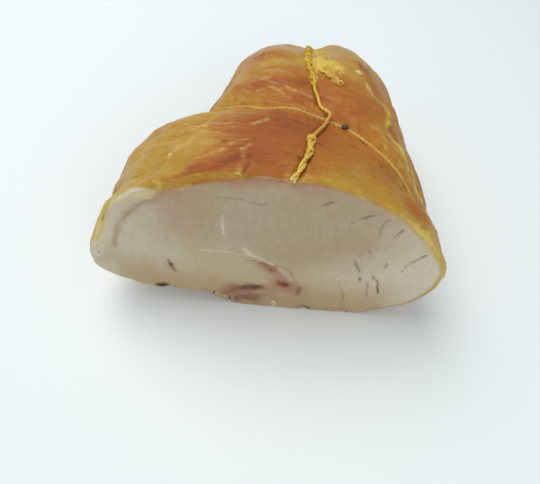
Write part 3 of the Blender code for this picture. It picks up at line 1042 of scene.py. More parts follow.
SKIN_MARKS = (
    # Smoke: more is redder, less is more golden
    *marks(
        Tint.SMOKE, (21, 0.34, 0, (0.2, 93), (0.31, 94), (0.36, 86)),
        (13, 0.16, 0, (0.46, 99), (0.49, 90), (0.48, 84)),
        (15, 0.24, 0, (0.65, 83), (0.61, 74), (0.62, 66)),
        (5, 0.34, 0, (0.587, 134), (0.584, 119), (0.6, 108), (0.64, 97)),
        (5, 0.24, 0, (0.57, 98), (0.594, 91)),
        (3.8, 0.3, 0, (0, 119), (0.01, 116), (0.036, 112), (0.065, 106.5), (0.117, 101.5), (0.146, 98)),
        (10, 0.07, 0, (0.24, 104), (0.34, 107), (0.44, 108)), (5, 0.22, 0, (0.743, 128), (0.743, 118)),
        (11, 0.1, 0, (0.53, 64), (0.49, 58), (0.44, 52)), (6, 0.12, 0, (0.66, 112), (0.665, 100)),
        (4, 0.24, 0, (0.74, 56), (0.71, 55), (0.66, 53)), (5, 0.18, 0, (0.12, 43), (0.06, 38)),
        (10, -0.25, 0, (0.02, 26), (0.08, 16), (0.05, 4)),
        (6, -0.12, 0, (0.4, 123), (0.45, 124), (0.6, 132)),
        (24, -0.3, 0, (0.25, 136), (0.17, 150), (0.06, 134)),
        (6, -0.16, 0, (0.1, 120), (0.2, 118), (0.27, 112)),
        (9, -0.16, 0, (0.05, 70), (0.09, 62), (0.08, 50)),
        (4, -0.22, 0, (0.694, 122), (0.714, 109), (0.76, 99)), (7, -0.08, 0, (0.64, 114), (0.68, 100)),
        (16, -0.2, 0, (0.79, 84), (0.8, 68), (0.86, 72)),
        (9, -0.16, 0, (0.44, 126), (0.53, 138), (0.62, 140)),
        (12, -0.05, 0, (0.6, 52), (0.56, 46), (0.5, 42)),
    ),
    *marks(Tint.FAT, (7, 0.4, 0, (0, 32), (0.05, 26), (0.1, 20), (0.11, 10), (0.05, 4))),
    *marks(Tint.WAXY, (6, 0.16, 0, (0, 26), (0.05, 18), (0.05, 8))),
    # Painted sheen on the lobes, as pale tint, and the loose pale membrane low on the left
    *marks(
        Tint.PALE, (9, 0.85, 0, (0.83, 130), (0.82, 112), (0.85, 104)),
        (8, 0.5, 0, (0.66, 140), (0.73, 136), (0.81, 136)),
        (4, 0.85, 0, (0.802, 88.5), (0.785, 81.5), (0.775, 78)),
        (13, 0.4, 0, (0.85, 82), (0.84, 70), (0.86, 60)),
        (6, 0.35, 0, (0.87, 58), (0.79, 52), (0.76, 44)),
        (5, 0.8, 0.4, (0.266, 157), (0.21, 149), (0.139, 144), (0.1, 146)), (1.3, 0.9, 0.5, (0.373, 137)),
        (1.6, 0.8, 0.4, (0.522, 25), (0.5, 21), (0.48, 18.5)),
    ),
    # Fat at the cleft
    *marks(
        Tint.FAT, (4.4, 1, 1, (0.83, 92), (0.79, 91), (0.765, 90.5), (0.735, 89)),
        (4, 0.85, 0.9, (0.75, 89), (0.733, 86), (0.727, 82), (0.72, 79)),
        (4.6, 0.62, 0.3, (0.745, 80), (0.725, 75), (0.717, 70), (0.735, 66)),
        (2.2, 0.9, 0.5, (0.71, 91), (0.69, 91.5), (0.665, 91)),
    ),
    # Mottled fat under the skin of the flank, the right shoulder and the left strip
    *marks(
        Tint.FAT, (13, 0.26, 0, (0.6, 36), (0.5, 24), (0.36, 20), (0.2, 24)),
        (9, 0.2, 0, (0.72, 52), (0.62, 46), (0.54, 46), (0.4, 44)),
        (12, 0.22, 0, (0.3, 132), (0.18, 136), (0.06, 128)),
        (8, 0.16, 0, (0.66, 116), (0.7, 104), (0.76, 112)),
    ),
    *marks(Tint.SMOKE, (11, -0.4, 0, (0, 168), (0.03, 157), (0.03, 146))),
    # Streaks of fat in the folds of the right flank
    *marks(
        Tint.FAT, (1.7, 0.85, 0.45, (0.72, 60), (0.685, 57.5), (0.685, 49), (0.655, 48), (0.626, 49.5)),
        (1.4, 0.75, 0.4, (0.587, 61), (0.587, 56), (0.571, 53.5), (0.539, 53.5)),
        (1.9, 0.75, 0.4, (0.6, 49), (0.584, 44.5), (0.568, 42), (0.555, 38)),
        (1.7, 0.65, 0.4, (0.57, 34), (0.545, 28), (0.53, 22)),
    ),
    # Golden rim of the face, and threads under the skin
    *marks(
        Tint.FAT, (2.8, 0.6, 0, (0.01, 84), (0.03, 76), (0.045, 70.5), (0.04, 62), (0.029, 54),
         (0.016, 48), (0.014, 40), (0.01, 31)),
        (2.6, 0.32, 0, (0, 122), (0.004, 112), (0.006, 103), (0.01, 98)),
        (2.2, 0.7, 0.5, (0.03, 123), (0.104, 124), (0.191, 123.5), (0.247, 117.5), (0.308, 114),
         (0.435, 118)),
        (0.9, 0.62, 0.3, (0.555, 138), (0.558, 132.5), (0.558, 119.5), (0.568, 115), (0.584, 108),
         (0.597, 100)), (0.8, 0.7, 0.25, (0.616, 84), (0.607, 75)),
        (1.3, 0.42, 0.2, (0.496, 92), (0.461, 87)),
        (1.9, 0.6, 0, (0.208, 99.5), (0.123, 98.5), (0.032, 97.8)),
        (0.9, 0.4, 0.1, (0.208, 78), (0.337, 66), (0.38, 59.5)),
        (0.9, 0.4, 0.1, (0.152, 75), (0.243, 67), (0.266, 61), (0.149, 63.5)),
    ),
    *marks(
        Tint.WAXY, (1.2, 0.42, 0.4, (0.15, 112.5), (0.168, 110.5)),
        (1.3, 0.48, 0.5, (0.178, 109), (0.205, 106)), (0.8, 0.36, 0.3, (0.205, 121), (0.23, 117.5)),
        (0.9, 0.3, 0.3, (0.3, 118.5), (0.33, 114.5)), (0.8, 0.3, 0.3, (0.216, 100.5), (0.24, 98)),
        (1.1, 0.36, 0.4, (0.247, 104.5), (0.282, 100)), (1.1, 0.3, 0.3, (0.367, 99.5), (0.422, 97)),
        (0.9, 0.45, 0.3, (0.02, 98.6), (0.01, 97.8)), (0.8, 0.9, 0.4, (0.195, 123.5), (0.19, 122.5)),
    ),
    # Soft ridges of the left shoulder
    *marks(
        Tint.FAT, (2.2, 0.26, 0.45, (0.06, 134), (0.18, 132), (0.29, 128), (0.4, 124)),
        (1.6, 0.3, 0.35, (0.27, 110), (0.37, 106), (0.46, 100)),
        (1.6, 0.26, 0.35, (0.2, 114), (0.31, 120), (0.42, 119)),
    ),
    *marks(
        Tint.PALE, (2.4, 0.3, 0.45, (0.12, 142), (0.24, 139), (0.34, 134)),
        (1.6, 0.3, 0.3, (0.36, 112), (0.44, 109), (0.5, 106)),
    ),
    # Creases and bruises
    *marks(
        Tint.DARK, (0.6, 0.6, -0.6, (0.094, 96), (0.049, 96.5), (0.023, 97.3)),
        (1, 0.4, -0.4, (0.587, 40.5), (0.571, 23), (0.532, 12.5), (0.5, 8)),
        (0.8, 0.42, -0.7, (0.245, 158), (0.225, 161), (0.19, 163)),
        (1, 0.6, -0.9, (0.2, 157), (0.17, 159.5), (0.13, 160.5)), (0.8, 0.75, 0, (0.253, 106.5)),
        (0.6, 0.7, 0, (0.065, 112)), (0.9, 0.8, 0, (0.441, 55)), (0.8, 0.7, 0, (0.532, 48)),
        (0.7, 0.75, 0, (0.652, 48)), (0.9, 0.6, -0.3, (0.162, 82.7), (0.18, 82.4)),
        (1, 0.8, -0.8, (0.795, 92)), (0.8, 0.7, -0.8, (0.743, 94)),
    ),
    *marks(
        Tint.BLOOD, (0.8, 0.8, -0.4, (0.328, 78), (0.376, 76.5)), (2.6, 0.6, 0, (0.775, 62), (0.765, 60)),
        (1.2, 0.8, 0, (0.48, 69.5)), (0.9, 0.6, 0, (0.107, 93.5)),
        (2.4, 0.3, -0.3, (0.513, 34.5), (0.49, 26.5), (0.45, 22)),
        (2, 0.6, -0.2, (0.625, 48), (0.61, 44)),
    ),
    *marks(Tint.SMOKE, (4.5, 0.45, 0, (0.78, 63), (0.762, 60))),
    *marks(Tint.WHITE, (0.7, 0.6, 0.2, (0.399, 99))),
)

FACE_MARKS = (
    # The duller middle, the creamy lower part and the rosy edge under the skin
    *marks(
        Tint.SHADE, (38, 0.85, 0, (-24, 66), (4, 62), (30, 68)),
        (15, 0.3, 0, (-34, 82), (-8, 92), (25, 92), (48, 84)), (12, 0.3, 0, (14, 44), (30, 48), (44, 56)),
        (12, 0.5, 0, (-78, 32), (-64, 24), (-50, 18)),
    ),
    *marks(
        Tint.CREAM, (12, 0.85, 0, (-64, 16), (-30, 14), (0, 8), (36, 6), (60, 10)),
        (16, 0.5, 0, (-28, 34), (-6, 30), (20, 30), (36, 24)),
    ),
    *marks(
        Tint.ROSE, (9, 0.28, 0, (-70, 22), (-50, 22), (-30, 20)),
        (10, 0.25, 0, (26, 12), (44, 16), (66, 22)),
        (4.5, 0.55, 0, (-44, 84), (-30, 90), (-12, 95), (10, 97), (28, 94)),
        (5.5, 0.9, 0, (-12, 96), (0, 98), (8, 98), (14, 97)),
        (5, 0.6, 0, (-2, 3), (6, 6), (14, 5), (24, 4)),
        (5, 0.3, 0, (36, 91), (54, 84), (66, 76), (78, 64)), (9, 0.3, 0, (-44, 72), (-40, 62)),
    ),
    *marks(Tint.SEAM, (3, 0.35, 0, (24, 2), (38, 2), (54, 4), (66, 7))),
    # Creamy edge of the lobe and of the strip of fat beside it
    *marks(
        Tint.WAXY, (3.2, 0.45, 0.3, (-68, 76), (-60, 80.5), (-51, 82.5)),
        (1.2, 0.42, 0.2, (-49, 83.2), (-40, 86.6), (-33, 89.2)),
    ),
    *marks(Tint.WHITE, (0.6, 0.55, 0.3, (-79.5, 58.5), (-81.9, 53.1), (-83.4, 48))),
    *marks(Tint.DARK, (0.6, 0.5, -0.5, (-76.5, 66), (-77.3, 61.5))),
    # Painted shadow in the nicks of the lower edge: dark marks where the hollow under the meat lies in
    # shade
    *marks(
        Tint.DARK, (2.6, 2.3, -1.4, (-55.5, 9.2), (-51.5, 11.2), (-47.8, 9)),
        (1.6, 1.7, -1.2, (-30.4, 9.2), (-27, 9.6)), (0.8, 1.5, -1, (-17, 5.4), (-17, 3)),
        (1.2, 1.4, -1, (23.5, 0.8), (25, 2.6), (27.5, 0.8)),
        (1.2, 1.5, -1.2, (44, 0.8), (45.4, 2.6), (48, 0.8)),
    ),
    # The seam round the left lobe
    *marks(
        Tint.SEAM, (1.7, 0.62, -0.8, (-48, 79.3), (-54.5, 76.6), (-59.1, 73), (-63, 68), (-67.6, 61.6),
         (-71, 54.9), (-73.4, 48), (-74.2, 43.5)),
    ),
    *marks(Tint.ROSE, (3, 0.35, 0, (-44, 82), (-38, 84))),
    # Tendon and pale threads
    *marks(
        Tint.WHITE, (1.2, 0.56, 0.5, (-9, 49.6), (-6.2, 46.2), (-3, 44.1), (1.4, 41.3), (5.4, 39.4)),
        (0.6, 0.4, 0.2, (-6.2, 46), (-12, 44.5), (-20.4, 46.6), (-26.2, 44.6)),
        (0.5, 0.72, 0.15, (-18.3, 71.3), (-18.8, 59.4)), (0.6, 0.35, 0.2, (-30.5, 45.6), (-26.2, 45.3)),
    ),
    # Painted shade under the raised tendon
    *marks(Tint.SEAM, (0.6, 0.8, -0.4, (-7.3, 40.4), (-2.2, 40.6), (2, 39.4), (5.6, 37.9))),
    # The bruised part of the lower middle
    *marks(
        Tint.ROSE, (5, 0.62, 0, (1, 37), (8, 32), (14, 26), (18, 18)),
        (7, 0.8, 0, (-17, 13), (-8, 12), (2, 15), (10, 20)),
    ),
    *marks(
        Tint.BLOOD, (4.5, 0.16, 0, (-16, 13), (-9, 11), (0, 13)),
        (2.2, 0.62, -0.3, (0.2, 38), (2.6, 36.8), (5.6, 34.8)), (2.2, 0.35, 0, (5, 34), (12.9, 30.1)),
        (5, 0.3, 0, (10, 23), (16, 22), (20.5, 17)),
        (1.7, 1.15, -0.4, (9, 23), (11.1, 22.2), (13.2, 21.6)),
        (1.1, 0.45, -0.2, (20.9, 21), (20.7, 13.6)),
        (4, 0.4, -0.2, (-19.6, 10), (-17.4, 13), (-13.8, 14.6)),
        (0.8, 0.8, -0.4, (-48.2, 34.6), (-47.4, 31)), (1.4, 0.95, -0.4, (-47.4, 31), (-46.3, 27.2)),
    ),
    *marks(
        Tint.WHITE, (1.7, 0.4, 0.5, (9.7, 35.2), (12.6, 31.4), (15.2, 27.5)),
        (0.9, 0.18, 0.3, (-9, 10.8), (-4, 11.6), (3, 14.6)),
    ),
    *marks(
        Tint.SEAM, (0.5, 0.7, -0.3, (6.5, 39.3), (12.3, 36.6), (15.6, 32.3), (17.6, 27.8)),
        (0.8, 0.6, -0.4, (-46.2, 52.2)), (0.8, 0.55, -0.4, (1.5, 65)),
    ),
    *marks(
        Tint.PLUM, (3.2, 1.1, -0.2, (-10, 15.6), (-5.5, 16.6)),
        (2.1, 1.15, -0.3, (-5.5, 16.9), (-2.4, 17.4), (0.8, 18.2)),
        (4, 0.95, 0.2, (-12.6, 6), (-7, 7.2), (-3, 6.2)),
    ),
    # Painted shade along the slit, over the plum colour of the meat in it
    *marks(Tint.DARK, (1.9, 0.48, -0.3, (-8, 16.2), (-4.5, 16.9), (-1, 17.6))),
    # Cracks between the fibres, painted darker: painted shade in the gaps
    *marks(
        Tint.CRACK, (0.5, 0.7, -0.5, (24.7, 82.8), (27.3, 84.4), (31, 86.2)),
        (0.6, 0.6, -0.5, (39.7, 75)), (0.45, 0.8, -0.5, (42.8, 77.2), (47.3, 79.9), (53, 82.1)),
        (0.6, 0.55, -0.6, (55.9, 77.9), (53.7, 74.8), (53.4, 71.5), (53.6, 66.4)),
        (0.5, 0.6, -0.5, (63.6, 72), (62.2, 70.1), (60.3, 66.2)),
        (0.5, 0.9, -0.7, (78, 55.6), (74.5, 51.3), (72.6, 49.2)),
        (0.6, 0.5, -0.4, (72.6, 49.2), (71, 46.2), (70.4, 41.5)),
        (0.6, 0.65, -0.7, (45.9, 47.3), (48, 41.2), (49.7, 38.4), (51, 31.2)),
        (0.6, 0.6, -0.7, (40.5, 27.6), (44.8, 17.4), (44.8, 10), (44.6, 5.5), (46.5, 1.5)),
        (0.5, 0.6, -0.4, (61.7, 47.2), (61.2, 43)),
        (0.6, 0.5, -0.3, (55.3, 30), (56.5, 20.4), (59, 15.2)),
        (0.5, 0.45, -0.3, (50.7, 56.8), (52.5, 52.7)), (0.5, 0.25, -0.2, (38.9, 70.6), (40.5, 64.9)),
        (0.6, 0.14, -0.15, (25.8, 71.9), (27.9, 53.8)), (0.6, 0.14, -0.15, (32.7, 72.7), (35.9, 54.9)),
        (0.45, 0.5, -0.3, (-21, 83.2), (-15.4, 83.5), (-9.1, 83.2)),
        (0.5, 0.6, -0.3, (-6.3, 81.2), (-2.9, 80.9), (0.9, 81.3)),
    ),
    *marks(
        Tint.BLOOD, (0.6, 0.8, -0.6, (57.1, 36.2), (58, 34.1)),
        (0.5, 0.85, -0.7, (59.2, 33), (60.8, 30), (61, 27), (62.6, 21.4)),
    ),
    # The foamy pocket at the left tip, with painted shade in its bubbles
    *marks(Tint.WHITE, (3.2, 0.6, 0.5, (-83.5, 43), (-84, 38))),
    *marks(
        Tint.CRACK, (0.7, 0.9, -1, (-83.3, 42.5)), (0.8, 0.9, -1, (-83.2, 38)),
        (0.5, 0.6, -0.7, (-85.2, 40.2)),
    ),
)


@dataclass(frozen=True)
class Unseen:
    """Stains, streaks and creases by rule, for the flanks and the rear."""

    seed: int = 61
    # Tint, how many, width, amount and depth in millimetres
    kinds: tuple[tuple[Tint, int, float, float, float], ...] = (
        (Tint.SMOKE, 14, 12, 0.3, 0), (Tint.SMOKE, 10, 10, -0.24, 0),
        (Tint.FAT, 16, 1.7, 0.7, 0.5), (Tint.PALE, 6, 7, 0.45, 0.3),
        (Tint.DARK, 8, 0.9, 0.36, -0.6), (Tint.BLOOD, 5, 2.2, 0.4, -0.2),
        (Tint.FAT, 7, 10, 0.26, 0),
    )
    sides: tuple[Pair, ...] = ((-62, 6), (170, 242))
    steps: int = 4
    step_along: float = 0.045
    step_degrees: float = 5.5

    def marks(self) -> tuple[Mark, ...]:
        """The marks, each along a short route that wanders over the skin."""
        chance = np.random.default_rng(self.seed)
        made = []
        for tint, count, width, amount, depth in self.kinds:
            for index in range(count):
                low, high = self.sides[index % 2]
                place = np.array([chance.uniform(0.06, 0.93), chance.uniform(low, high)])
                heading, route = chance.uniform(0, 2 * pi), []
                for _ in range(self.steps):
                    route.append((float(np.clip(place[0], 0.02, 0.98)), float(place[1])))
                    heading += chance.normal(0, 0.5)
                    place = place + (self.step_along * np.cos(heading),
                                     self.step_degrees * np.sin(heading))
                made.append(Mark(tint, width, amount * chance.uniform(0.6, 1.2), depth,
                                 tuple(route)))
        return tuple(made)


@dataclass(frozen=True)
class Mosaic:
    """Points spread over a rectangle of a map, closer together where detail is fine."""

    low: Pair
    high: Pair
    coarse: float
    levels: int = 3
    jitter: float = 0.14
    split_below: float = 0.72
    seed: int = 9

    def centres(self, wanted: Callable[[Array], Array]) -> Array:
        """Split cells in four until they are small enough, and give their centres.

        Args:
            wanted: Gives the wanted distance between points at places of the map.

        Returns:
            The centres, moved a little at random.
        """
        chance = np.random.default_rng(self.seed)
        counts = [max(round((b - a) / self.coarse), 1) for a, b in zip(self.low, self.high)]
        sizes = np.array([(b - a) / n for a, b, n in zip(self.low, self.high, counts)])
        cells = np.stack(np.meshgrid(*(a + (np.arange(n) + 0.5) * size for a, n, size in
                                       zip(self.low, counts, sizes))), -1).reshape(-1, 2)
        corners = np.array([(-1, -1), (1, -1), (-1, 1), (1, 1)])
        kept = []
        for level in range(self.levels):
            small = wanted(cells) < sizes.mean() * self.split_below
            fine = small & (level < self.levels - 1)
            moved = chance.uniform(-self.jitter, self.jitter, ((~fine).sum(), 2)) * sizes
            kept.append(cells[~fine] + moved)
            cells = (cells[fine][:, None] + corners * sizes / 4).reshape(-1, 2)
            sizes = sizes / 2
        return np.vstack(kept)


def triangles(outline: Array, inner: Array) -> Array:
    """Fill an outline with triangles between its points and the points inside it.

    Args:
        outline: Corners of the outline, in order.
        inner: Points inside it.

    Returns:
        Rows of three indices into the outline's points followed by the inner ones.
    """
    points = np.vstack([outline, inner])
    made = delaunay_2d_cdt([Vector(point) for point in points.tolist()], [],
                           [list(range(len(outline)))], 1, 1e-7)
    source = np.array([origin[0] if origin else
                       np.linalg.norm(points - np.array(spot), axis=1).argmin()
                       for spot, origin in zip(made[0], made[3])])
    rows = source[np.array(made[2])]
    return rows[(rows != np.roll(rows, 1, axis=1)).all(axis=1)]


@dataclass
class TurkeyMeat:
    """The meat: smoked skin all round and the flesh of the cut face."""

    roll: Roll
    skin_marks: tuple[Mark, ...] = SKIN_MARKS + Unseen().marks()
    face_marks: tuple[Mark, ...] = FACE_MARKS
    # The skin's flat map in mm: its length, what a degree is, the share of it where along
    # runs evenly, the share where the fan at the rear starts, and its outline's spacing
    map_length: float = 190.0
    map_turn: float = 1.39
    straight_share: float = 0.62
    last_share: float = 0.992
    edge_spacing: float = 0.95
    seam_spacing: float = 2.5
    rear_count: int = 60
    # Distance between points in mm: where little shows, on plain skin and on fine detail
    unseen_spacing: float = 2.5
    skin_spacing: float = 1.25
    fine_spacing: float = 0.62
    seen_above: float = -0.25
    seen_to: float = 0.97
    twine_reach: float = 4.2 * MM
    edge_reach: float = 6.0
    fine_width: float = 2.5
    mark_reach: float = 1.8
    # The same for the cut face: at most, on plain flesh, near the edge and on narrow marks
    face_spacings: tuple[float, ...] = (2.2 * MM, 1.2 * MM, 0.6 * MM, 0.5 * MM)
    face_edge_reach: float = 5 * MM
    face_edge_gap: float = 0.4 * MM
    face_fine_width: float = 2.0
    face_mark_reach: float = 2.2
    # How marks bend, fade and break up, and for marks of what width in mm
    bends: tuple[Grain, ...] = tuple(Grain(seed, 6 * MM) for seed in (3, 4, 5))
    bend_share: float = 0.8
    bend_most: float = 2.6 * MM
    fading: Grain = Grain(8, 5 * MM)
    fading_below: float = 4.0
    gaps: Grain = Grain(18, 2.6 * MM)
    gaps_below: float = 1.5
    broken: tuple[Tint, ...] = (Tint.CRACK, Tint.FAT, Tint.WAXY)
    # Relief of the skin: lumps, wrinkles, puckers beside the loop, and the twine's groove
    round_reach: float = 70 * MM
    lumpy: Grain = Grain(41, 9 * MM, 4)
    lump: float = 0.55 * MM
    wrinkled: Grain = Grain(21, 3.6 * MM)
    wrinkle: float = 0.30 * MM
    puckered: Grain = Grain(31, 2.6 * MM)
    pucker: float = 0.45 * MM
    loop_reach: float = 9 * MM
    groove: float = 1.4 * MM
    groove_width: float = 1.7 * MM
    lip: float = 0.22 * MM
    lip_from_twine: float = 3.2 * MM
    lip_width: float = 1.5 * MM
    rear_inset: float = 0.12 * MM
    # Places with more wrinkles
    crumpled: tuple[Fold, ...] = (
        Fold(0.34, 118, 0.13, 14, 1), Fold(0.16, 150, 0.12, 14, 1), Fold(0.55, 30, 0.2, 18, 1),
        Fold(0.6, 118, 0.05, 12, 1), Fold(0.58, 98, 0.05, 12, 1), Fold(0.74, 114, 0.09, 14, 1),
        Fold(0.8, 66, 0.06, 12, 1),
    )
    # Painted highlight on the wrinkles' crests and painted shade in their hollows, as tints
    crest_highlight: float = 0.34
    hollow_shade: float = 0.20
    # Folds that are finer than the CAD part's
    soft_folds: tuple[Fold, ...] = (
        Fold(0.25, 35, 0.12, 10, 2.2), Fold(0.43, 25, 0.08, 11, 2), Fold(0.13, 18, 0.08, 8, -1.8),
        Fold(0, -25, 0.09, 14, -1.4), Fold(0, 211, 0.1, 16, 5), Fold(0.27, 156, 0.03, 6, -1),
        Fold(0.274, 157, 0.04, 7, -2.8), Fold(0.385, 149, 0.03, 8, 1.2),
        Fold(0.458, 143, 0.02, 6, -1.3), Fold(0.02, 150, 0.04, 6, -1.2),
        Fold(0.71, 154, 0.05, 9, -1.2), Fold(0.84, 130, 0.06, 10, 1.5),
        Fold(0.78, 18, 0.07, 8, -1.3), Fold(0.62, -10, 0.14, 7, 1), Fold(0.72, -26, 0.12, 8, -1),
        Fold(0.7, 178, 0.1, 8, 1), Fold(0.2, 188, 0.1, 7, -1),
    )
    # Degrees, how far the flesh reaches back over the edge and how round the edge is, in mm
    rim: Route = (
        (0, -3.2, 2.6), (16, -3.4, 3), (30, -3, 3.2), (40, -3.4, 3.2), (48, -2.4, 2.8),
        (56, -0.9, 2.4), (63, -0.4, 2.6), (68, -0.4, 2.6), (75, -1.4, 2.6), (82, -0.4, 3.2),
        (92, -0.2, 3.8), (97, -2, 5), (104, -4.8, 6), (120, -4.4, 6.4), (124, -2.4, 6.4),
        (128, 1.4, 6), (134, 4.6, 7), (142, 3.2, 7), (147, -1.5, 6.5), (152, -4, 6),
        (158, -4.6, 5.6), (163, -3, 4), (168, 1, 3.2), (190, 0.6, 2.2), (240, 0.2, 1.8),
        (300, 0, 1.8), (330, -2, 2), (360, -3.2, 2.6),
    )
    # Nicks in the lower edge of the face: place across, half width and height, in mm
    nicks: Route = (
        (-51, 3, 2.8), (-28.7, 1.8, 2.2), (-17, 1, 2.2), (-60, 1.5, 0.5), (-40, 2, 0.5),
        (25, 1.8, 2.6), (45.6, 1.7, 2.8), (34, 2, 0.6), (5, 1.5, 0.6), (-23, 1.2, 0.9),
        (-46, 1.4, 0.8), (38.5, 1.2, 0.8), (52, 1.6, 0.9), (13, 1.3, 0.7),
    )
    nick_reach: float = 0.03
    # Where the lower edge of the face hangs lower than the CAD part: place across, half
    # width and drop, in mm, and how far back along they reach
    droops: Route = ((-86, 11, 4.2), (-61, 10, 2.6), (-19, 4, 2.6), (75, 9, -1.6))
    droop_reach: float = 0.12
    # The rim of the cut: how soft the edge of the flesh is, more at the top, in mm; the
    # strength of the golden fat in it, with what the right adds and the lobe takes off
    rim_soft: Pair = (2.4, 1.6)
    rim_rounding: float = 0.5
    golden_width: float = 2.5 * MM
    golden_off: float = 1.5 * MM
    golden_strength: Point = (0.42, 0.2, -0.3)
    smoke_level: float = 0.5
    # Relief of the cut face, and how far from its edge it settles
    face_settles: float = 4 * MM
    tints_carry: float = 4.5 * MM
    swell: float = 0.3 * MM
    swell_sizes: Pair = (13 * MM, 11 * MM)
    dimpled: Grain = Grain(51, 8 * MM, 4)
    dimple: float = 0.22 * MM
    fibrous: Grain = Grain(61, 2.2 * MM)
    fibre: float = 0.12 * MM

    def from_map(self, place: Array) -> tuple[Array, Array]:
        """Along and angle, in radians, of places on the flat map of the skin, in mm."""
        share = place[:, 0] / self.map_length
        front = self.roll.rear_rounding_from
        turn = np.clip((share - self.straight_share) / (1 - self.straight_share), 0, 1) * pi / 2
        along = np.where(share < self.straight_share, share / self.straight_share * front,
                         front + (1 - front) * np.sin(turn))
        return along, np.radians(place[:, 1] / self.map_turn)

    def skin_map(self) -> tuple[Array, Array, int]:
        """Points of the skin's flat map, the triangles between them, and the edge's count."""
        length, turn = self.map_length * self.last_share, 360 * self.map_turn
        low = -90 * self.map_turn
        steps = [round(turn / self.edge_spacing), round(length / self.seam_spacing),
                 self.rear_count]
        edge = low + np.linspace(0, turn, steps[0] + 1)
        seam = np.linspace(0, length, steps[1] + 1)
        rear = np.linspace(low + turn, low, steps[2] + 1)
        outline = np.vstack([
            np.stack([np.zeros_like(edge), edge], -1),
            np.stack([seam[1:], np.full(steps[1], low + turn)], -1),
            np.stack([np.full(steps[2], length), rear[1:]], -1),
            np.stack([seam[-2:0:-1], np.full(steps[1] - 1, low)], -1)])
        loop, lengthwise = self.lines()
        fine = [(route, mark.width * MM) for route, mark in
                zip(self.skin_routes(), self.skin_marks) if mark.width < self.fine_width]

        def wanted(place: Array) -> Array:
            """The wanted distance between points of the map, in mm."""
            along, angle = self.from_map(place)
            points = self.roll.skin(along, angle)
            seen = (np.sin(angle) > self.seen_above) & (along < self.seen_to)
            from_twine = np.minimum(away_from(points, loop),
                                    away_from(points, lengthwise[::2]))
            near = (from_twine < self.twine_reach) | (place[:, 0] < self.edge_reach)
            spacing = np.where(seen, self.skin_spacing, self.unseen_spacing)
            spacing = np.where(seen & near, self.fine_spacing, spacing)
            for route, width in fine:
                on_mark = away_from(points, route) < self.mark_reach * width
                spacing = np.where(on_mark, self.fine_spacing, spacing)
            return spacing

        mosaic = Mosaic((0, low), (length, low + turn), self.unseen_spacing)
        inner = mosaic.centres(wanted)
        faces = triangles(outline, inner)
        same = np.arange(len(outline) + len(inner))
        far = steps[0] + np.arange(steps[1] + 1)
        near = np.append(0, len(outline) - 1 - np.arange(steps[1]))
        same[far] = near
        return np.vstack([outline, inner]), same[faces], steps[0]

    def lines(self) -> tuple[Array, Array]:
        """The centre lines of the loop and of the lengthwise twine."""
        return self.roll.loop_line()[::2], spread(*self.roll.lengthwise_line(), 2.5 * MM)[0]

    def skin_routes(self) -> list[Array]:
        """The routes of the skin's marks in space."""
        return [self.roll.skin(*np.array([(along, radians(degrees)) for along, degrees in
                                          mark.route]).T) for mark in self.skin_marks]

    def mark_values(self, points: Array, marks: tuple[Mark, ...],
                    routes: list[Array]) -> tuple[Tints, Array]:
        """How strongly each tint shows at each point, and the marks' relief.

        Args:
            points: Points of the smooth surface.
            marks: The marks.
            routes: Each mark's route in space.

        Returns:
            The tints' strengths and the height in metres.
        """
        bend = np.stack([grain.fine(points) for grain in self.bends], -1)
        fade, gaps = self.fading.fine(points), self.gaps.fine(points)
        values = {tint: np.zeros(len(points)) for tint in Tint}
        height = np.zeros(len(points))
        for mark, route in zip(marks, routes):
            width = mark.width * MM
            bent = points + bend * min(width * self.bend_share, self.bend_most)
            strength = bell(away_from(bent, route), width)
            if mark.tint is not Tint.SMOKE and mark.width < self.fading_below:
                strength = strength * np.clip(1 + 0.6 * fade, 0.3, 1.4)
            if mark.tint in self.broken and mark.width < self.gaps_below:
                strength = strength * np.clip(0.85 + 1.3 * gaps, 0.1, 1.5)
            values[mark.tint] += mark.amount * strength
            height += mark.depth * MM * strength
        return values, height

    def skin_relief(self, along: Array, angle: Array, points: Array, crest: Array,
                    crumpled: Array) -> Array:
        """Fine relief of the skin: wrinkles, puckers at the twine and its groove.

        Args:
            along: From 0 at the face to 1 at the rear.
            angle: Angle round the section, in radians.
            points: The smooth skin there.
            crest: How near a wrinkle's crest each place is.
            crumpled: How crumpled the skin is there.

        Returns:
            Heights in metres.
        """
        loop, lengthwise = self.lines()
        from_loop = away_from(points, loop)
        from_length = away_from(points, lengthwise[::2])
        beside_loop = bell(from_loop, self.loop_reach)
        puckers = self.puckered.fine(self.lie(along, angle) * (0.16, 1.0, 1.0))
        height = (self.lumpy.fine(points) * self.lump
                  + crest * self.wrinkle * (0.5 + 1.6 * beside_loop + 1.6 * crumpled))
        degrees = np.degrees(angle)
        height += sum(fold.at(along, degrees) for fold in self.soft_folds) * MM
        height += puckers * beside_loop * self.pucker
        for away in (from_loop, from_length):
            height += self.lip * bell(away - self.lip_from_twine, self.lip_width)
            height -= self.groove * bell(away, self.groove_width)
        return height

    def wrinkles(self, along: Array, angle: Array) -> tuple[Array, Array]:
        """How near a wrinkle's crest each place is, and how crumpled the skin is there."""
        lie = self.lie(along, angle) * (1.0, 0.16, 1.0)
        degrees = np.degrees(angle)
        return (1 - np.abs(self.wrinkled.fine(lie)) * 2.4,
                sum(fold.at(along, degrees) for fold in self.crumpled))

    def lie(self, along: Array, angle: Array) -> Array:
        """Rough distances along the roll and round it, for patterns that follow the skin."""
        return np.stack([along * self.roll.length, angle * self.round_reach,
                         np.zeros_like(along)], -1)

